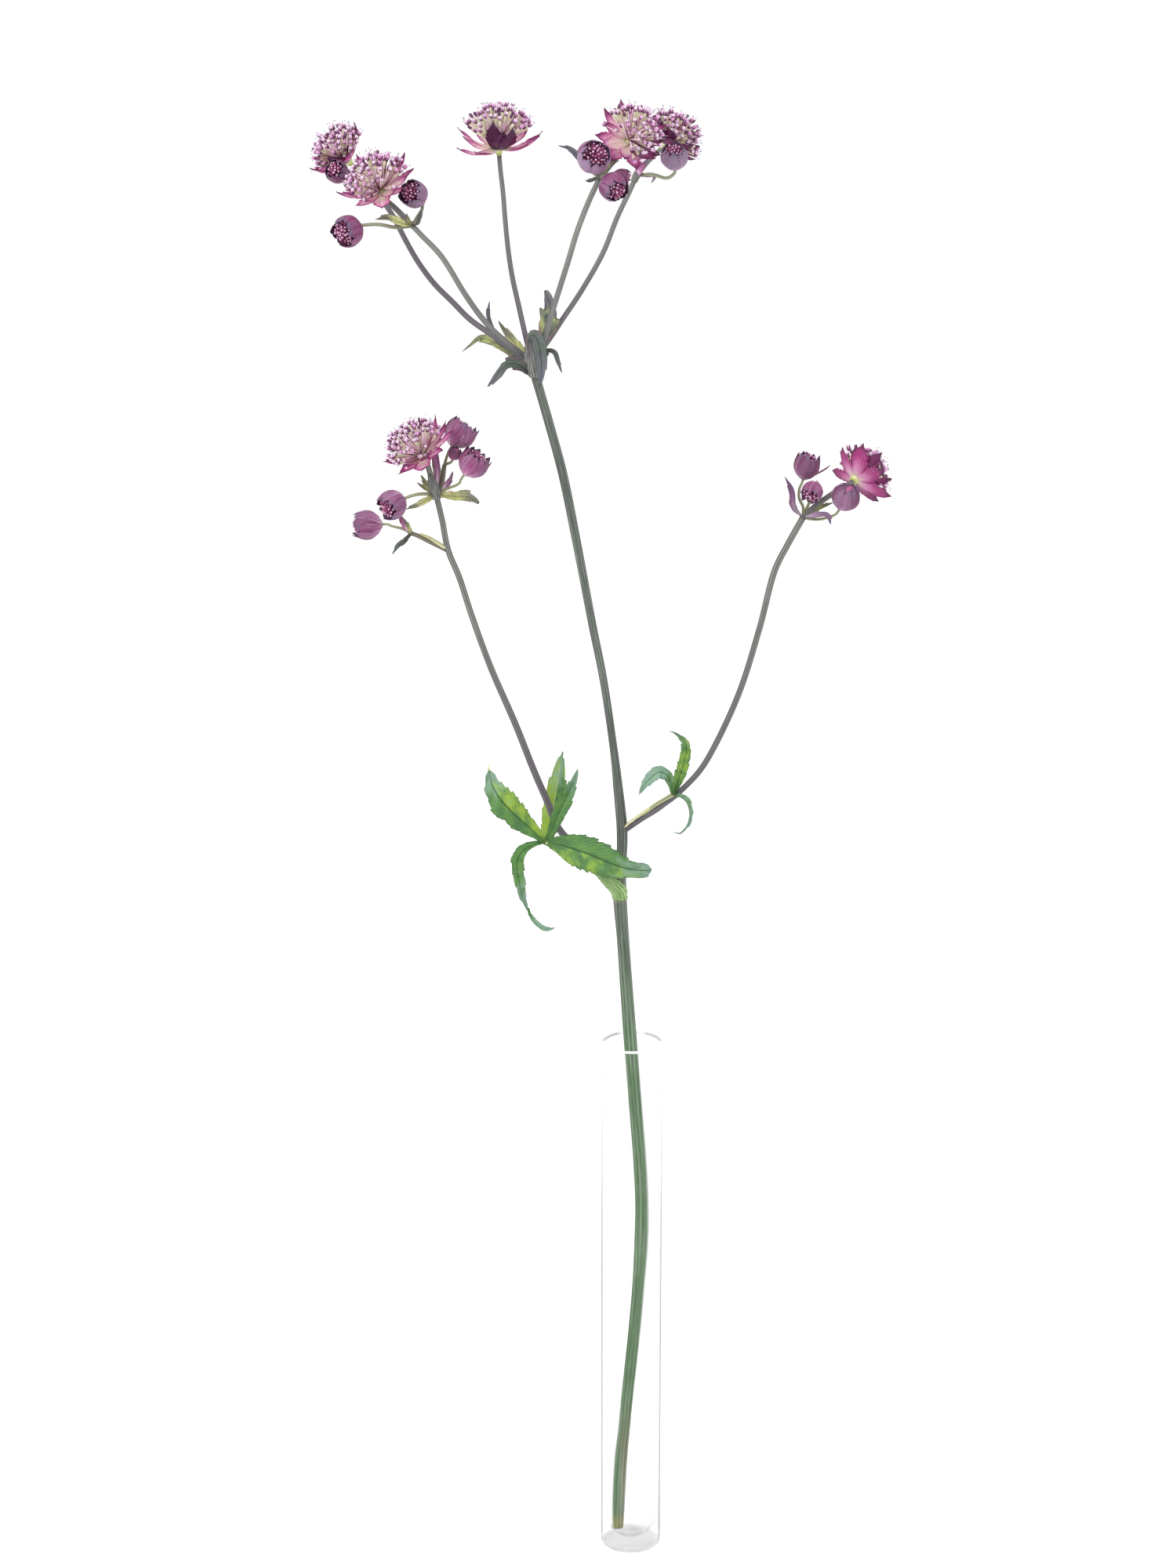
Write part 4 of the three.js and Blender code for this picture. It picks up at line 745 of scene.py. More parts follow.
def stem_material(name, low, high, groove, pale, ridges, from_z, to_z, dusk=None):
    """A ribbed green stem whose colour goes from low to high between two heights, in millimetres. The
    value tone turns it to dusk. A stem without dusk is browned near its cut end."""
    s = Shade(name)
    u, v = s.grain()
    x, _, z = s.split(s.place())
    turn = u * (2 * pi)
    round_x, round_y = turn.math("COSINE"), turn.math("SINE")
    streaks = s.weave(round_x * 3, round_y * 3, v * 3, 3)
    threads = s.weave(round_x * 11, round_y * 11, v * 14, 2)
    rib = ((turn * ridges).math("COSINE") + (streaks - 0.5) * 2.4).between(-0.9, 1)
    s.colour = s.mix(z.between(from_z * MM, to_z * MM), low, high)
    if dusk is None:
        s.coat(z.between(0.07, 0.04) * x.between(-0.0055, -0.0035) * 0.7, (122, 112, 88))
        s.coat(z.between(0.016, 0.009, 0, 0.8), (168, 160, 84))
    s.coat(streaks.between(0.35, 0.7, 0, 0.55), pale)
    s.coat((1 - rib) * 0.6, groove)
    s.coat(threads.between(0.45, 0.8, 0, 0.4), pale)
    if dusk is not None:
        s.coat(s.point("tone") * 0.78, dusk)
    height = rib * 0.5 + (threads * 0.35 + s.noise(s.place(), 2600) * 0.12)
    return s.finish(0.46, 0.45, height, 0.22)


def leaf_material(name, deep, bright, sunny, rib, tip, share, specks=None, tip_from=0.6):
    """A veined leaf: dark veins and margins, a yellow-green glow where light comes through, partly painted
    into its colour, and a bluish sheen towards its tip. The values at its points are sun, how yellow it is,
    partly its own colour and partly painted light coming through, lit, how much more so one half is, as
    painted light, sheen, how far down the bluish tip reaches, and rib_pale, how light its midrib is."""
    s = Shade(name)
    u, v = s.grain()
    margin = s.point("margin")
    off = u - 0.5
    x = off * (s.point("width") * 2)
    y = v * s.point("length")
    flat = s.vector(x, y, s.point("seed") * 37)
    lateral = y - x.math("ABSOLUTE") * 1.5 + s.noise(flat, 0.6) * 1.3
    strong = lateral.math("PINGPONG", 1.2).between(0, 0.2, 1, 0)
    fine = (lateral + 0.3).math("PINGPONG", 0.34).between(0, 0.3, 1, 0)
    net = s.cells(flat, 1.5).between(0, 0.14, 1, 0)
    midrib = off.math("ABSOLUTE").between(0.01, 0.045, 1, 0)
    side = (strong * 0.8).math("MAXIMUM", (fine * 0.34).math("MAXIMUM", net * 0.3))
    clouds = s.noise(flat, 0.2, 3)
    # Painted light coming through the blade, partly its own yellow-green: more where sun is high, and on one
    # half by lit
    light = s.point("sun") * 0.9 + (clouds - 0.5) * 1.5 + off.between(-0.06, 0.06, -1, 1) * s.point("lit")
    s.colour = s.mix(clouds.between(0.3, 0.7), deep, bright)
    s.coat(light.between(0.3, 0.95), sunny)
    s.coat(side * 0.5, rib)
    reach = v + (s.noise(flat, 0.28) - 0.5) * 0.7 + s.point("sheen")
    s.coat(reach.between(tip_from, tip_from + 0.42, 0, 0.85), tip)
    s.coat(midrib * 0.8, s.mix(s.point("rib_pale"), rib, (206, 222, 170)))
    if specks is not None:
        low = v.between(0.6, 0.3)
        dots = s.cells(flat, 1.7).between(0.12, 0.3) * margin.between(0.5, 0.85)
        s.coat(dots * (low * 0.8), specks)
        s.coat(margin.between(0.85, 1, 0, 0.2) * low, (206, 110, 152))
    s.coat(margin.between(0.9, 1) * 0.6, rib)
    glow = s.mix(side * 0.6, s.mix(clouds, bright, sunny), deep)
    height = clouds * 0.5 - (side * 0.45 + midrib * 0.6)
    return s.finish(0.42, 0.45, height, 0.3, glow, share)


def bract_material(name, root, blush, heart, dark, tip, share, outer, shift=0.0, tip_from=0.76):
    """A papery bract: white at its root, then pink, magenta towards its middle and margins, slate at its tip,
    with parallel veins. outer tints its back, and shift moves the magenta towards the root. The value dusk
    darkens it, for its own dark plum and on some bracts for painted shade, haze turns it to a bluish grey and
    lit moves its magenta outward."""
    s = Shade(name)
    u, v = s.grain()
    seed, inner, margin, dusk = (s.point(key) for key in ("seed", "inner", "margin", "dusk"))
    threads = s.weave(u * 9, v, seed * 31, 2)
    along = v + (seed - 0.5) * 0.16 + (threads - 0.5) * 0.3
    reach = along + margin * margin * 0.34 + inner.between(0, 1, shift + 0.26, shift - 0.07)
    reach = reach - s.point("lit") * 0.2
    s.colour = s.ramp(reach, (0.3, root), (0.52, blush), (0.84, heart))
    s.coat(inner.between(0, 1, 0.14, 0), outer)
    s.coat(threads.between(0.5, 0.8, 0, 0.3), s.mix(0.4, heart, dark))
    fan = (u * 9).math("PINGPONG", 0.5)
    vein = fan.between(0.3, 0.5)
    s.coat(vein * (v.between(0.1, 0.6, 0.1, 0.42) * inner.between(0, 1, 1.7, 1)), s.mix(0.65, heart, dark))
    # Paler on the ridges between the veins: partly the bract's own pale streaks, partly a painted highlight
    s.coat(fan.between(0.2, 0) * threads.between(0.35, 0.6) * 0.45, s.mix(0.4, root, blush))
    flare = s.weave(u * 4, v, seed * 53, 1).between(0.56, 0.74) * v.between(0, 0.7, 1, 0.2)
    s.coat(flare * 0.6, s.mix(0.35, root, blush))
    s.coat(s.point("haze") * 0.8, s.mix(vein, (176, 166, 190), (128, 112, 144)))
    # dusk: the bract's own dark plum, and on some bracts painted shade
    s.coat(dusk * v.between(0, 0.3, 0.7, 0.95), dark)
    s.coat((along + margin * 0.06).between(tip_from, tip_from + 0.24) * 0.85, tip)
    glow = s.mix(dusk, s.ramp(reach, (0.3, root), (0.6, blush), (0.95, heart)), s.mix(0.5, heart, dark))
    return s.finish(0.5, 0.3, vein * -0.5 + threads * 0.3, 0.16, glow, share)


def plain_organ(name, low, high, share=0.0, glow=None, other=None):
    """A small organ whose colour goes from low at its root to high at its end, or is other where the value
    tone is high."""
    s = Shade(name)
    _, v = s.grain()
    mottle = s.noise(s.place(), 900, 3)
    s.colour = s.mix((v + (mottle - 0.5) * 0.5).between(0.15, 0.85), low, high)
    if other is not None:
        s.coat(s.point("tone"), other)
    return s.finish(0.5, 0.4, mottle, 0.08, glow, share)


def glass_material():
    """Thin clear glass. Its wall is painted grey where it is seen edge on, and its thick foot has faint
    painted streaks: both are painted shade.
    """
    s = Shade("clear_glass")
    x, y, z = s.split(s.place())
    radius = (x * x + y * y).math("SQRT")
    # Painted shade: grey lines where the wall is seen edge on, grey streaks in the foot and round the bowl
    facing = s.value("ShaderNodeLayerWeight", (0.5,), "Facing")
    line = facing.between(0.6, 0.86) * z.between(0.215, 0.12, 0.35, 1)
    line = line * radius.between(0.0113, 0.012, 0.25, 1)
    banded = s.weave(x * 90, y * 90, z * 900, 3).between(0.42, 0.58)
    bowl = z.between(0.012, 0.009) * radius.between(0.0111, 0.0107) * radius.between(0.004, 0.008)
    s.colour = s.mix(line, (254, 254, 254), (168, 169, 171))
    s.coat(z.between(0.0075, 0.0045) * banded, (243, 243, 243))
    s.coat(bowl * banded, (228, 228, 229))
    s.coat(z.between(0.0018, 0.0008, 0, 0.7), (236, 236, 237))
    glass = s.node("ShaderNodeBsdfPrincipled", {"Base Color": s.colour, "Roughness": 0, "IOR": 1.06,
                                                "Transmission Weight": 1})
    return s.end(glass, 0.6, s.node("ShaderNodeBsdfTransparent", (s.colour,)))


def rim_material():
    """The fire-rounded rim, which throws back so much light that it looks white, a painted reflection, with
    two grey arcs of painted shade.
    """
    s = Shade("glass_rim")
    x, y, _ = s.split(s.place())
    # Painted shade: two grey arcs towards the back of the rim, to the left and to the right
    grey = (x.math("ABSOLUTE").between(0.0028, 0.0068)
            * (y + s.noise(s.place(), 260) * 0.004).between(-0.001, 0.004))
    rim = s.node("ShaderNodeBsdfPrincipled", {"Base Color": s.mix(grey, (254, 254, 254), (150, 151, 153)),
                                              "Roughness": 0.12})
    return s.end(rim, 0.2, s.node("ShaderNodeBsdfTransparent"))


MAIN_RIDGES, BRANCH_RIDGES, STALK_RIDGES = 11, 7, 5

SKIN_MAIN = stem_material("main_stem_skin", (68, 108, 58), (56, 57, 59), (28, 38, 30), (134, 146, 130),
                          MAIN_RIDGES, 200, 300)
SKIN_BRANCH = stem_material("branch_skin", (92, 95, 86), (116, 119, 112), (46, 46, 46), (152, 155, 148),
                            BRANCH_RIDGES, 480, 570, dusk=(74, 65, 78))
SKIN_STALK = stem_material("stalk_skin", (142, 150, 100), (120, 124, 98), (80, 78, 68), (198, 202, 160),
                           STALK_RIDGES, 460, 540, dusk=(76, 58, 70))
STRIPED = stem_material("striped_sheath_skin", (78, 82, 78), (74, 76, 78), (34, 34, 40), (174, 176, 164),
                        8, 200, 300)
CLASP = stem_material("clasping_skin", (92, 136, 66), (98, 142, 70), (54, 88, 44), (186, 200, 140), 9, 200,
                      300)
MEMBRANE = stem_material("yellow_membrane", (190, 194, 130), (204, 206, 146), (122, 94, 88),
                         (240, 237, 204), 6, 200, 300)
LEAF = leaf_material("leaf_blade", (82, 128, 76), (106, 154, 80), (168, 200, 72), (40, 72, 42),
                     (150, 180, 166), 0.38)
SMALL_LEAF = leaf_material("small_leaf_blade", (78, 85, 85), (92, 104, 92), (196, 204, 128), (52, 52, 60),
                           (108, 106, 120), 0.22, specks=(190, 60, 120))
SHEATH = leaf_material("speckled_sheath", (164, 172, 120), (200, 205, 142), (228, 228, 166), (92, 88, 70),
                       (92, 88, 106), 0.35, specks=(190, 60, 120), tip_from=0.42)
BRACT = bract_material("bract_paper", (255, 252, 238), (240, 170, 220), (184, 48, 142), (78, 28, 68),
                       (92, 78, 104), 0.6, (214, 170, 202), tip_from=0.7)
BUD_BRACT = bract_material("bud_paper", (252, 236, 246), (182, 104, 158), (122, 42, 94), (74, 28, 62),
                           (112, 98, 126), 0.14, (172, 110, 158), shift=0.06, tip_from=0.8)
RAY = plain_organ("floret_ray", (246, 234, 228), (248, 220, 240), 0.42, (250, 232, 236), (140, 44, 92))
OVARY = plain_organ("ovary", (246, 242, 226), (228, 223, 202), 0.42, (248, 246, 220), (206, 170, 186))
CUP_SKIN = plain_organ("cup_skin", (170, 180, 96), (236, 238, 180), 0.3, (240, 244, 180))
CALYX = plain_organ("calyx", (134, 74, 114), (76, 38, 74), 0.08, (150, 80, 120))
PETAL = plain_organ("petal", (240, 172, 224), (255, 246, 255), 0.5, (255, 240, 252), (242, 180, 228))
HAIR = plain_organ("node_hair", (196, 204, 150), (232, 230, 206), 0.3, (236, 236, 200))
STAMEN = plain_organ("filament", (240, 222, 232), (250, 240, 246), 0.3, (255, 246, 252))
ANTHER = plain_organ("anther", (110, 76, 108), (150, 118, 146))
BUD_FLORET = plain_organ("bud_floret", (104, 46, 82), (166, 90, 132), 0.2, (190, 110, 150))
GLASS = glass_material()
GLASS_RIM = rim_material()


# Stems

def build_stems():
    main = Body()
    add_tube(main, MAIN_STEM, 0, 0, sides=44, step=2.4, ridges=MAIN_RIDGES, depth=0.028)
    main.build("main_stem", [SKIN_MAIN], ["stem"])
    side = Body()
    for points, root, tip, tones, skin in BRANCHES:
        add_tube(side, points, root, tip, 21, 1.6, skin, (BRANCH_RIDGES, STALK_RIDGES)[skin], 0.03, tones)
    for bloom in BLOOMS:
        add_stalk(side, bloom, bloom["radius"], BRANCH)
    for number, bud in enumerate(BUDS, 1):
        add_stalk(side, bud, THICK_STALK if number in THICK_STALKED else THIN_STALK, STALK)
    side.build("branches", [SKIN_BRANCH, SKIN_STALK], ["stem"])


def add_stalk(body, head, radius, material):
    base, up = np.array(head["base"], float), unit(head["axis"])
    run = head.get("run", min(2.2, 0.35 * head.get("width", 8)))
    points = [*head["stalk"], base - run * up, base + 0.4 * up]
    root = radius + head.get("flare", 0.15)
    add_tube(body, points, root, radius, 15, 1.2, material, STALK_RIDGES, 0.03, (0.4, 0.2))


# Leaves

def saw(x):
    """A row of teeth that rise slowly and fall fast, from 0 to 1."""
    f = x - np.floor(x)
    return np.where(f < SAW_TOP, (f / SAW_TOP) ** 0.9, (1 - f) / (1 - SAW_TOP))


def wave(x):
    return np.sin(2 * pi * x)


def add_lobe(body, lobe, thickness, seed, material=0, root=0.9, **values):
    """One toothed lobe of a leaf."""
    half, widest, teeth = lobe["half"], lobe["widest"], lobe["teeth"]
    blunt, depth = lobe.get("blunt", 0), lobe.get("depth", 0.26)
    scalloped_side, scallops, scallop_depth = lobe.get("scallops", (0, 0, 0))
    rows, columns = teeth * 12 + 16, 17 if half > 3.2 else 11
    line = smooth_line(lobe["points"], rows)
    along = tangents(line)
    s = np.linspace(0, 1, rows)
    look = unit(lobe["face"][0]) * (1 - s)[:, None] + unit(lobe["face"][1]) * s[:, None]
    side = unit(np.cross(along, look))
    normal = np.cross(side, along)
    rise = np.where(s < widest, s / widest, (1 - s) / (1 - widest))
    envelope = root * (1 - s) + (half - root * (1 - s)) * np.sin(rise * pi / 2) ** 1.1
    round_end = blunt * half * np.sqrt(np.clip(1 - ((s - 0.9) / 0.1) ** 2, 0, 1))
    envelope = np.maximum(envelope, np.where(s > 0.9, round_end, 0))
    if blunt:
        envelope = np.where((s > 0.7) & (s < 0.9), np.maximum(envelope, blunt * half), envelope)
        envelope = np.convolve(np.pad(envelope, 3, mode="edge"), np.ones(7) / 7, mode="valid")
    envelope = np.maximum(envelope, 0.05)
    taper = np.sin(np.clip(s * 1.12, 0, 1) * pi) ** 0.4
    t = np.linspace(-1, 1, columns)
    length = distances(line)[-1]
    sheet = np.zeros((rows, columns, 3))
    fold = radians(lobe["fold"])
    rng = np.random.default_rng(seed)
    for sign, chosen in ((-1, t < 0), (1, t >= 0)):
        phase = rng.uniform(0, 1)
        warp = (s + 0.03 * wave(1.3 * s + phase)) * teeth
        coarse = saw(warp + phase)
        size = 0.75 + 0.5 * rng.uniform(0, 1, teeth + 3)[(warp + phase).astype(int)]
        bite = depth * size * (1 - (0.74 * coarse + 0.26 * saw(warp * 2.6 + phase * 3))) * taper
        if sign == scalloped_side:
            scallop = scallop_depth * (1 - np.abs(np.sin(pi * s * scallops)) ** 0.5)
            bite = bite * 0.6 + scallop * (s > 0.3)
        width = (envelope * (1 - bite + 0.04))[:, None]
        reach = np.abs(t[chosen])
        push = (coarse - 0.5) * 0.3 * length / teeth * (s < 0.97)
        sway = half * (0.08 * wave(2.2 * s + phase) + 0.04 * wave(5 * s))
        bulge = 0.05 * half * wave(teeth * 0.5 * (s[:, None] + 0.1 * reach)) * reach
        lift = np.sin(fold) * width * reach**1.3 + sway[:, None] * reach**2 + bulge * (1 - reach)
        sheet[:, chosen] = (line[:, None] + sign * side[:, None] * (width * reach * cos(fold))[..., None]
                            + normal[:, None] * lift[..., None]
                            + along[:, None] * (push[:, None] * reach**4)[..., None])
    values |= {key: lobe.get(key, 0) for key in ("sun", "lit", "sheen", "rib_pale")}
    add_sheet(body, sheet, thickness, material, seed=(seed % 17) / 17, width=half, length=length, **values)


def add_sheath(body, points, widths, up, arc, thickness, material):
    """A trough of thin skin that clasps a branch. widths are its radii at even distances, up is the side
    that it covers, and arc is how far it wraps each way, in degrees, at its root and at its tip."""
    line = smooth_line(points, 30)
    along = tangents(line)
    s = np.linspace(0, 1, len(line))
    radii = np.interp(s, np.linspace(0, 1, len(widths)), widths)
    high = unit(np.asarray(up, float) - along * along.dot(np.asarray(up, float))[:, None])
    t = np.linspace(-1, 1, 13)
    turn = np.radians(np.interp(s, (0, 1), arc))[:, None] * t
    frill = 1 + 0.1 * wave(7 * s[:, None] + 0.3 * t) * np.abs(t) ** 3
    sheet = ringed(line, high, np.cross(along, high), radii[:, None] * frill, turn)
    add_sheet(body, sheet, thickness, material, width=radii.max() * 1.5, length=distances(line)[-1],
              sun=0.5, tone=0)


def add_hairs(body, spots, way, length, count, seed):
    """Short stiff hairs along a line of spots."""
    rng = np.random.default_rng(seed)
    for spot in smooth_line(spots, count):
        lean = unit(np.asarray(way, float) + rng.normal(0, 0.35, 3))
        tall = length * rng.uniform(0.5, 1.1)
        side = rng.normal(0, 0.15, 3)
        add_bent(body, [(spot, 0.07), (spot + lean * tall * 0.5 + side, 0.05), (spot + lean * tall, 0.02)],
                 3, LEAF_HAIR)


def build_leaves():
    left = Body()
    add_tube(left, LEFT_LEAF_STALK, 1.3, 1, 14, 1.5, LEAF_STALK, STALK_RIDGES, 0.04)
    for k, lobe in enumerate(LEFT_LOBES):
        add_lobe(left, lobe, 0.3, LEFT_SEED + k)
    add_bent(left, TIP_HOOK, 6, LEAF_HAIR)
    add_sheath(left, LOW_SHEATH, (3.0, 3.3, 3.3, 2.6, 1.5), (-0.3, -1, -0.3), (118, 50), 0.3, LEAF_SHEATH)
    add_hairs(left, LOW_FRINGE, (-0.1, -0.6, -0.8), 1.3, 22, LEFT_HAIR_SEED)
    left.build("left_leaf", [LEAF, SKIN_STALK, CLASP, HAIR], ["leaf_left"])
    right = Body()
    add_tube(right, RIGHT_LEAF_STALK, 0.35, 0.9, 14, 1.5, LEAF_STALK, STALK_RIDGES, 0.04)
    for k, lobe in enumerate(RIGHT_LOBES):
        add_lobe(right, lobe, 0.28, RIGHT_SEED + k)
    add_sheath(right, RIGHT_SHEATH, (1.5, 1.8, 2.0, 1.9, 1.2), (-0.45, 0.1, 1), (62, 50), 0.25, LEAF_SHEATH)
    add_hairs(right, RIGHT_FRINGE, (0.3, -0.4, 0.6), 1.2, 12, RIGHT_HAIR_SEED)
    right.build("right_leaf", [LEAF, SKIN_STALK, MEMBRANE, HAIR], ["leaf_right"])
    for k, lobe in enumerate(JUNCTION_LEAVES):
        small = Body()
        add_lobe(small, lobe, 0.28, JUNCTION_SEED + k)
        small.build(f"junction_leaf_blade_{k + 1}", [SMALL_LEAF], [f"junction_leaf_{k + 1}"])
    bracts = Body()
    for k, one in enumerate(NODE_BRACTS):
        lobe = {"teeth": 3, "fold": 24, "widest": 0.46, "depth": 0.2, "sun": one["green"] - 0.3, **one}
        kind = PLUM if "plum" in one else GREEN if one["green"] > 0.4 else GREY
        add_lobe(bracts, lobe | {"face": [one["face"]] * 2}, 0.22, NODE_SEED + k, kind, 0.7,
                 haze=one.get("plum", 0), dusk=one.get("dusk", 0))
    for sheath in NODE_SHEATHS:
        add_sheath(bracts, *sheath)
    bracts.build("node_bracts", [SHEATH, SMALL_LEAF, BUD_BRACT, MEMBRANE, STRIPED], ["stem"])


# Blooms

def jagged(outline, s, t, counts, depth, start):
    """Half widths of a blade over rows s and columns t, with teeth on its two edges from start on. The
    two counts are the numbers of teeth. The inner columns run smoothly, so the veins do too."""
    row = np.clip((s - start) / (1 - start), 0, 1)
    wide = np.tile(outline[:, None], (1, len(t)))
    for sign, count in zip((-1, 1), counts):
        bite = depth * (1 - saw(row * count)) * (1 - row) * (row > 0)
        wide *= 1 - bite[:, None] * np.clip(t * sign, 0, 1) ** 6
    return wide


def add_bract(body, root, out, up, length, half, rise, rng, hang=0.07, **values):
    """One bract of a ruff, from root outward, rising by an angle in degrees above the ruff's plane."""
    s, t = np.linspace(0, 1, 27), np.linspace(-1, 1, 9)
    rise = radians(rise)
    across = np.cross(up, out)
    slope = out * cos(rise) + up * sin(rise)
    normal = up * cos(rise) - out * sin(rise)
    outline = profile(BRACT_OUTLINE, s)
    turned = rng.uniform(-0.5, 1.0) * 1.3 * np.clip(s - 0.7, 0, 1) ** 2 / 0.09
    sway = rng.uniform(-1, 1) * 0.9 * s**2
    bow = -4 * hang * length * s * (1 - s)
    middle = (root + slope * (s * length)[:, None] + normal * (bow + turned)[:, None]
              + across * sway[:, None])
    ripple = 0.1 * half * wave(1.5 * s + rng.uniform(0, 1))
    wide = jagged(outline, s, t, (3, 2.5), 0.5, 0.5) * half
    trough = (0.36 - 0.14 * s) * half * outline
    lift = trough[:, None] * np.abs(t) ** 1.6 + ripple[:, None] * np.sign(t) * t**2
    sheet = middle[:, None] + across * (wide * t)[..., None] + normal * lift[..., None]
    add_sheet(body, sheet[:, ::-1], 0.2, seed=rng.uniform(0, 1), **values)


def add_ruff(body, bloom, seed):
    """A bloom's ring of bracts."""
    rng = np.random.default_rng(seed)
    axes = axis_frame(bloom["axis"])
    base = np.array(bloom["base"], float)
    count, turn = bloom["bracts"], bloom["turn"]
    for i in range(count):
        angle = radians(turn) + 2 * pi * i / count
        out = around(axes, angle)
        length = bloom["reach"] * (1 + 0.09 * sin(1.7 * i + turn)) - CUP_RADIUS
        rise = bloom["lift"] + (5 if i % 2 else -4) + 3 * sin(2.9 * i)
        half = (1.28 + 0.5 * max(0.0, -sin(angle))) * tan(pi / count)
        half *= CUP_RADIUS + 0.56 * length * cos(radians(rise))
        rise, scale, dusk = bloom.get("stand", {}).get(i, (rise, 1, 0))
        root = base + out * CUP_RADIUS * 0.66 + axes[2] * (CUP_LIP + (0.35 if i % 2 else -0.1))
        add_bract(body, root, out, axes[2], length * scale + 0.5, half, rise, rng, bloom.get("hang", 0.07),
                  dusk=bloom.get("dark", {}).get(i, dusk), lit=bloom.get("lit", 0))
    add_turned(body, CUP, 16, base, axes, 1)


def add_floret(body, foot, fan, way, length, fertile, tone, rng):
    """One floret at the end of a ray: ovary, dark calyx with five teeth, pale incurved petals, stamens. Its
    ray starts at foot, and its length is measured from fan."""
    axes = axis_frame(way)
    turn = rng.uniform(0, 2 * pi)
    axes = np.array([around(axes, turn), around(axes, turn + pi / 2), axes[2]])
    up = axes[2]
    head = fan + up * (length - HEAD)
    ray_end = head - up * (OVARY_LENGTH - 0.3 if fertile else 0.1)
    bow = rng.uniform(-0.5, 0.5, 3)
    thick = rng.uniform(0.2, 0.3)
    add_bent(body, [(foot, thick * 1.3), ((foot + ray_end) / 2 + bow, thick), (ray_end, thick)], 5, 0,
             tone=tone)
    size = rng.uniform(0.86, 1.14)
    closed = rng.random() < 0.15
    if fertile:
        shape = [(r * size, h) for r, h in OVARY_SHAPE]
        add_turned(body, shape, 10, head - up * OVARY_LENGTH, axes, 1, 5, 0.12, tone=tone * 0.6)
    add_turned(body, [(r * size, h) for r, h in CALYX_SHAPE], 8, head, axes, 2)
    if closed:
        add_turned(body, [(r * size, h * size) for r, h in KNOB_SHAPE], 7, head, axes, 2, 5, 0.14)
        return

    def spot(height, reach):
        return head + up * height + out * reach

    spread = rng.uniform(0.5, 0.66) * size
    for k in range(5):
        out = around(axes, 2 * pi * k / 5)
        tip = spot(rng.uniform(1.4, 1.9) * size, spread * rng.uniform(0.95, 1.25))
        add_bent(body, [(spot(0.3, 0.42 * size), 0.22), (spot(size, spread), 0.2), (tip, 0.06)], 4, 2)
        out = around(axes, 2 * pi * (k + 0.5) / 5)
        add_bent(body, [(spot(0.4, 0.36 * size), 0.13), (spot(1.05 * size, 0.54 * size), 0.24),
                        (spot(1.65 * size, 0.48 * size), 0.22), (spot(2 * size, 0.2), 0.09)], 5, 3,
                 tone=tone)
    for _ in range(rng.integers(0, 3)):
        out = around(axes, rng.uniform(0, 2 * pi))
        end = spot(rng.uniform(2.4, 3.2), rng.uniform(0.5, 1.4))
        end = np.clip(end, BOX_LOW + STAMEN_ROOM, BOX_HIGH - STAMEN_ROOM)
        start = spot(0.8, 0.3)
        add_bent(body, [(start, 0.07), ((start + end) / 2 + out * 0.2, 0.06), (end, 0.05)], 3, 4)
        add_bead(body, end, axes, 0.17, 0.27, 5)


def add_bead(body, centre, axes, radius, length, material):
    stops = [(radius * r, length * h) for r, h in ((0.4, -1), (1, -0.3), (1, 0.3), (0.4, 1))]
    add_turned(body, stops, 5, centre, axes, material)


def add_florets(body, bloom, seed):
    """A bloom's dome of florets, on rays that fan out from its cup."""
    rng = np.random.default_rng(seed)
    axes = axis_frame(bloom["axis"])
    base = np.array(bloom["base"], float)
    middle, half, inside, odds = bloom.get("gap", (0, 0, 1, 0))
    for i in range(FLORETS):
        share = sqrt((i + 0.5) / FLORETS)
        turn = bloom["turn"] + degrees(i * GOLDEN_ANGLE)
        polar = radians(bloom.get("spread", FLORET_SPREAD) * share)
        angle = radians(turn)
        way = axes[2] * cos(polar) + around(axes, angle) * sin(polar)
        way = unit(way + rng.normal(0, 0.04, 3))
        length = bloom["rays"] * (1.02 - 0.1 * share * share) * rng.uniform(0.88, 1.02)
        if rng.random() < 0.2:
            length *= rng.uniform(0.66, 0.85)
        wedge = sin(WEDGES * angle + 1.3 * share) + rng.uniform(-0.7, 0.7)
        fertile = wedge > -0.1 - bloom.get("olive", 0)
        tone = float(rng.random() < bloom.get("blush", 0.35))
        if abs((turn - middle + 180) % 360 - 180) < half and share > inside and rng.random() < odds:
            continue
        add_floret(body, base + axes[2] * 1.5, base + axes[2] * 1.2, way, length, fertile, tone, rng)


def build_blooms():
    for k, bloom in enumerate(BLOOMS):
        name = bloom["name"]
        ruff = Body()
        add_ruff(ruff, bloom, RUFF_SEED + k)
        ruff.build(f"{name}_ruff", [BRACT, CUP_SKIN], [f"{name}_bracts"])
        head = Body()
        add_florets(head, bloom, FLORET_SEED + k)
        head.build(f"{name}_head", [RAY, OVARY, CALYX, PETAL, STAMEN, ANTHER], [f"{name}_florets"])


# Buds

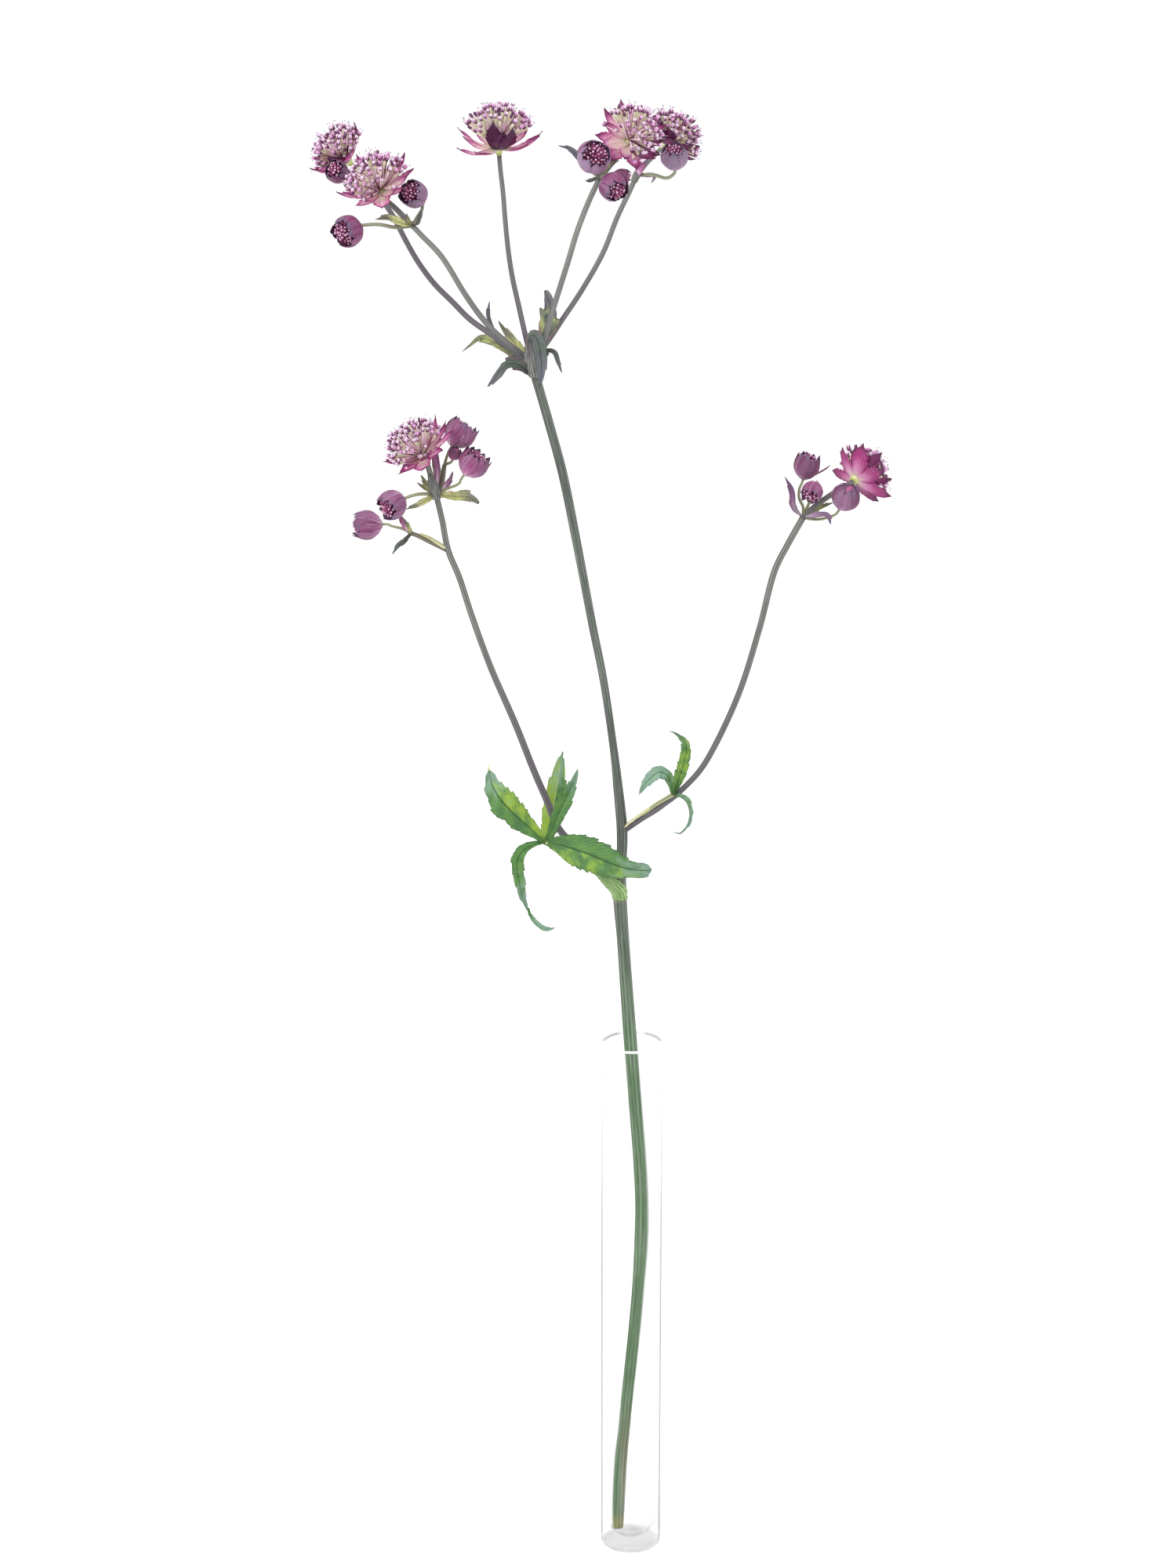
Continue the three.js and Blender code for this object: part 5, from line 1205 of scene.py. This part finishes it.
def add_bud(body, bud, seed):
    """A globe of overlapping bracts whose tips stand round a mouth full of young florets."""
    rng = np.random.default_rng(seed)
    axes = axis_frame(bud["axis"])
    base = np.array(bud["base"], float)
    width, length, gape = bud["width"], bud["length"], bud["gape"]
    shape = [(0, 0.16), (0.12, 0.6), (0.34, 0.95), (0.56, 1), (0.76, 0.84 + 0.1 * gape),
             (0.9, 0.58 + 0.3 * gape), (1, 0.3 + 0.56 * gape)]
    s, t = np.linspace(0, 1, 25), np.linspace(-1, 1, 9)
    wide = jagged(profile(BUD_OUTLINE, s), s, t, (2, 2.5), 0.45, 0.64)
    for i in range(BUD_BRACTS):
        angle = 2 * pi * i / BUD_BRACTS + rng.uniform(-0.12, 0.12)
        tall = length * (0.99 - 0.07 * gape) * rng.uniform(0.84, 1.02)
        radius = profile(shape, s * tall / length) * width * (0.96 + 0.025 * (i % 3))
        turned = rng.uniform(-0.12, 0.17) * width * np.clip(s - 0.75, 0, 1) / 0.25
        turn = angle + wide * pi / BUD_BRACTS * 1.7 * t
        ring = (radius + turned)[:, None] * (1 - 0.04 * t**2) + 0.02 * width * t
        sheet = ringed(base + (s * tall)[:, None] * axes[2], axes[:1], axes[1:2], ring, turn)
        haze = max(0.0, bud.get("haze", 0.05) + rng.uniform(-0.2, 0.2))
        dusk = max(0.0, bud.get("dusk", 0.15) + rng.uniform(-0.2, 0.25))
        add_sheet(body, sheet[:, ::-1], 0.2, seed=rng.uniform(0, 1), dusk=dusk, haze=haze)
    if "splay" in bud:
        azimuth, rise, reach, half = bud["splay"]
        out = around(axes, radians(azimuth))
        add_bract(body, base + out * 1.2 + axes[2], out, axes[2], reach, half, rise, rng)
    if gape < 0.25 or width < 4:
        add_turned(body, [(r * width, h * length) for r, h in BUD_CORE], 14, base, axes, 1)
        return
    count = int(40 * (width / 6) ** 2)
    for i in range(count):
        share = sqrt((i + 0.5) / count)
        out = around(axes, i * GOLDEN_ANGLE)
        height = length * (0.9 - 0.12 * gape - 0.2 * share**2) * rng.uniform(0.9, 1.04)
        spot = base + axes[2] * height + out * share * width * (0.56 + 0.24 * gape)
        way = unit(axes[2] + out * share * 0.7 + rng.normal(0, 0.16, 3))
        small = axis_frame(way)
        size = rng.uniform(0.72, 1.12)
        add_turned(body, [(r * size, h) for r, h in BUD_GLOBE], 7, spot, small, 1)
        for k in range(4):
            edge = around(small, pi * k / 2 + i)
            add_bent(body, [(spot + edge * 0.42 - way * 0.2, 0.17), (spot + edge * 0.56 + way * 0.45, 0.17),
                            (spot + edge * 0.42 + way * 1.05, 0.03)], 4, 1)
        if rng.random() < 0.75:
            add_bead(body, spot + way * rng.uniform(0.6, 0.95), small, *rng.uniform(0.2, 0.4, 2), 2)


def build_buds():
    for k, bud in enumerate(BUDS):
        body = Body()
        add_bud(body, bud, BUD_SEED + k)
        body.build(f"bud_{k + 1}_bracts", [BUD_BRACT, BUD_FLORET, PETAL], [f"bud_{k + 1}"])


# The vase

def arc(across, height, radius, start, end, steps):
    turns = np.radians(np.linspace(start, end, steps + 1))
    return [(max(across + radius * cos(a), 0.02), height + radius * sin(a)) for a in turns]


def build_vase():
    inner = VASE_RADIUS - VASE_WALL
    rim = VASE_HEIGHT - VASE_RIM_ROUND
    stops = [
        (0.02, 0),
        *arc(VASE_RADIUS - VASE_FOOT_ROUND, VASE_FOOT_ROUND, VASE_FOOT_ROUND, -90, 0, 8),
        *((VASE_RADIUS, z) for z in np.linspace(VASE_FOOT_ROUND, rim, 40)[1:-1]),
        *arc(VASE_RADIUS - VASE_RIM_ROUND, rim, VASE_RIM_ROUND, 0, 90, 6),
        *arc(inner + VASE_RIM_ROUND, rim, VASE_RIM_ROUND, 90, 180, 6),
        *((inner, z) for z in np.linspace(rim, VASE_BOWL_CENTRE, 40)[1:-1]),
        *arc(0, VASE_BOWL_CENTRE, inner, 0, -90, 16),
    ]
    rings = np.array([[(r * cos(a), r * sin(a), z) for a in full_turn(96)] for r, z in stops])
    body = Body()
    add_rings(body, rings, np.linspace(0, 1, len(rings)))
    vase = body.build("glass_vase", [GLASS, GLASS_RIM], ["vase"])
    for face in vase.data.polygons:
        if face.center.z > rim * MM:
            face.material_index = 1


# Camera, floor and light

def build_stage():
    scene = bpy.context.scene
    data = bpy.data.cameras.new("camera")
    data.sensor_width = SENSOR
    data.lens = SENSOR * FOCAL_PIXELS / PHOTO_HEIGHT
    data.clip_end = 100
    scene.camera = bpy.data.objects.new("camera", data)
    scene.camera.location = [c * MM for c in CAMERA_PLACE]
    scene.camera.rotation_euler = (radians(90 - CAMERA_PITCH), 0, 0)
    scene.collection.objects.link(scene.camera)

    bpy.ops.mesh.primitive_plane_add(size=60, location=(0, 0, 0))
    floor = bpy.context.object
    floor.name = "floor"
    paper = Shade("white_floor")
    paper.colour = (0.93, 0.93, 0.93, 1)
    floor.data.materials.append(paper.finish(0.9, 0))

    world = bpy.data.worlds.new("studio")
    world.use_nodes = True
    world.node_tree.nodes["Background"].inputs[0].default_value = (1, 1, 1, 1)
    world.node_tree.nodes["Background"].inputs[1].default_value = SKY
    scene.world = world
    for name, place, size, power in LAMPS:
        light = bpy.data.lights.new(name, "AREA")
        light.size = size
        light.energy = power
        lamp = bpy.data.objects.new(name, light)
        lamp.location = place
        way = np.array(LAMP_TARGET) - place
        lamp.rotation_euler = (atan2(hypot(way[0], way[1]), -way[2]), 0,
                               atan2(way[1], way[0]) - pi / 2)
        scene.collection.objects.link(lamp)
    scene.view_settings.view_transform = "Standard"
    scene.view_settings.look = "None"


build_vase()
build_stems()
build_leaves()
build_blooms()
build_buds()
build_stage()
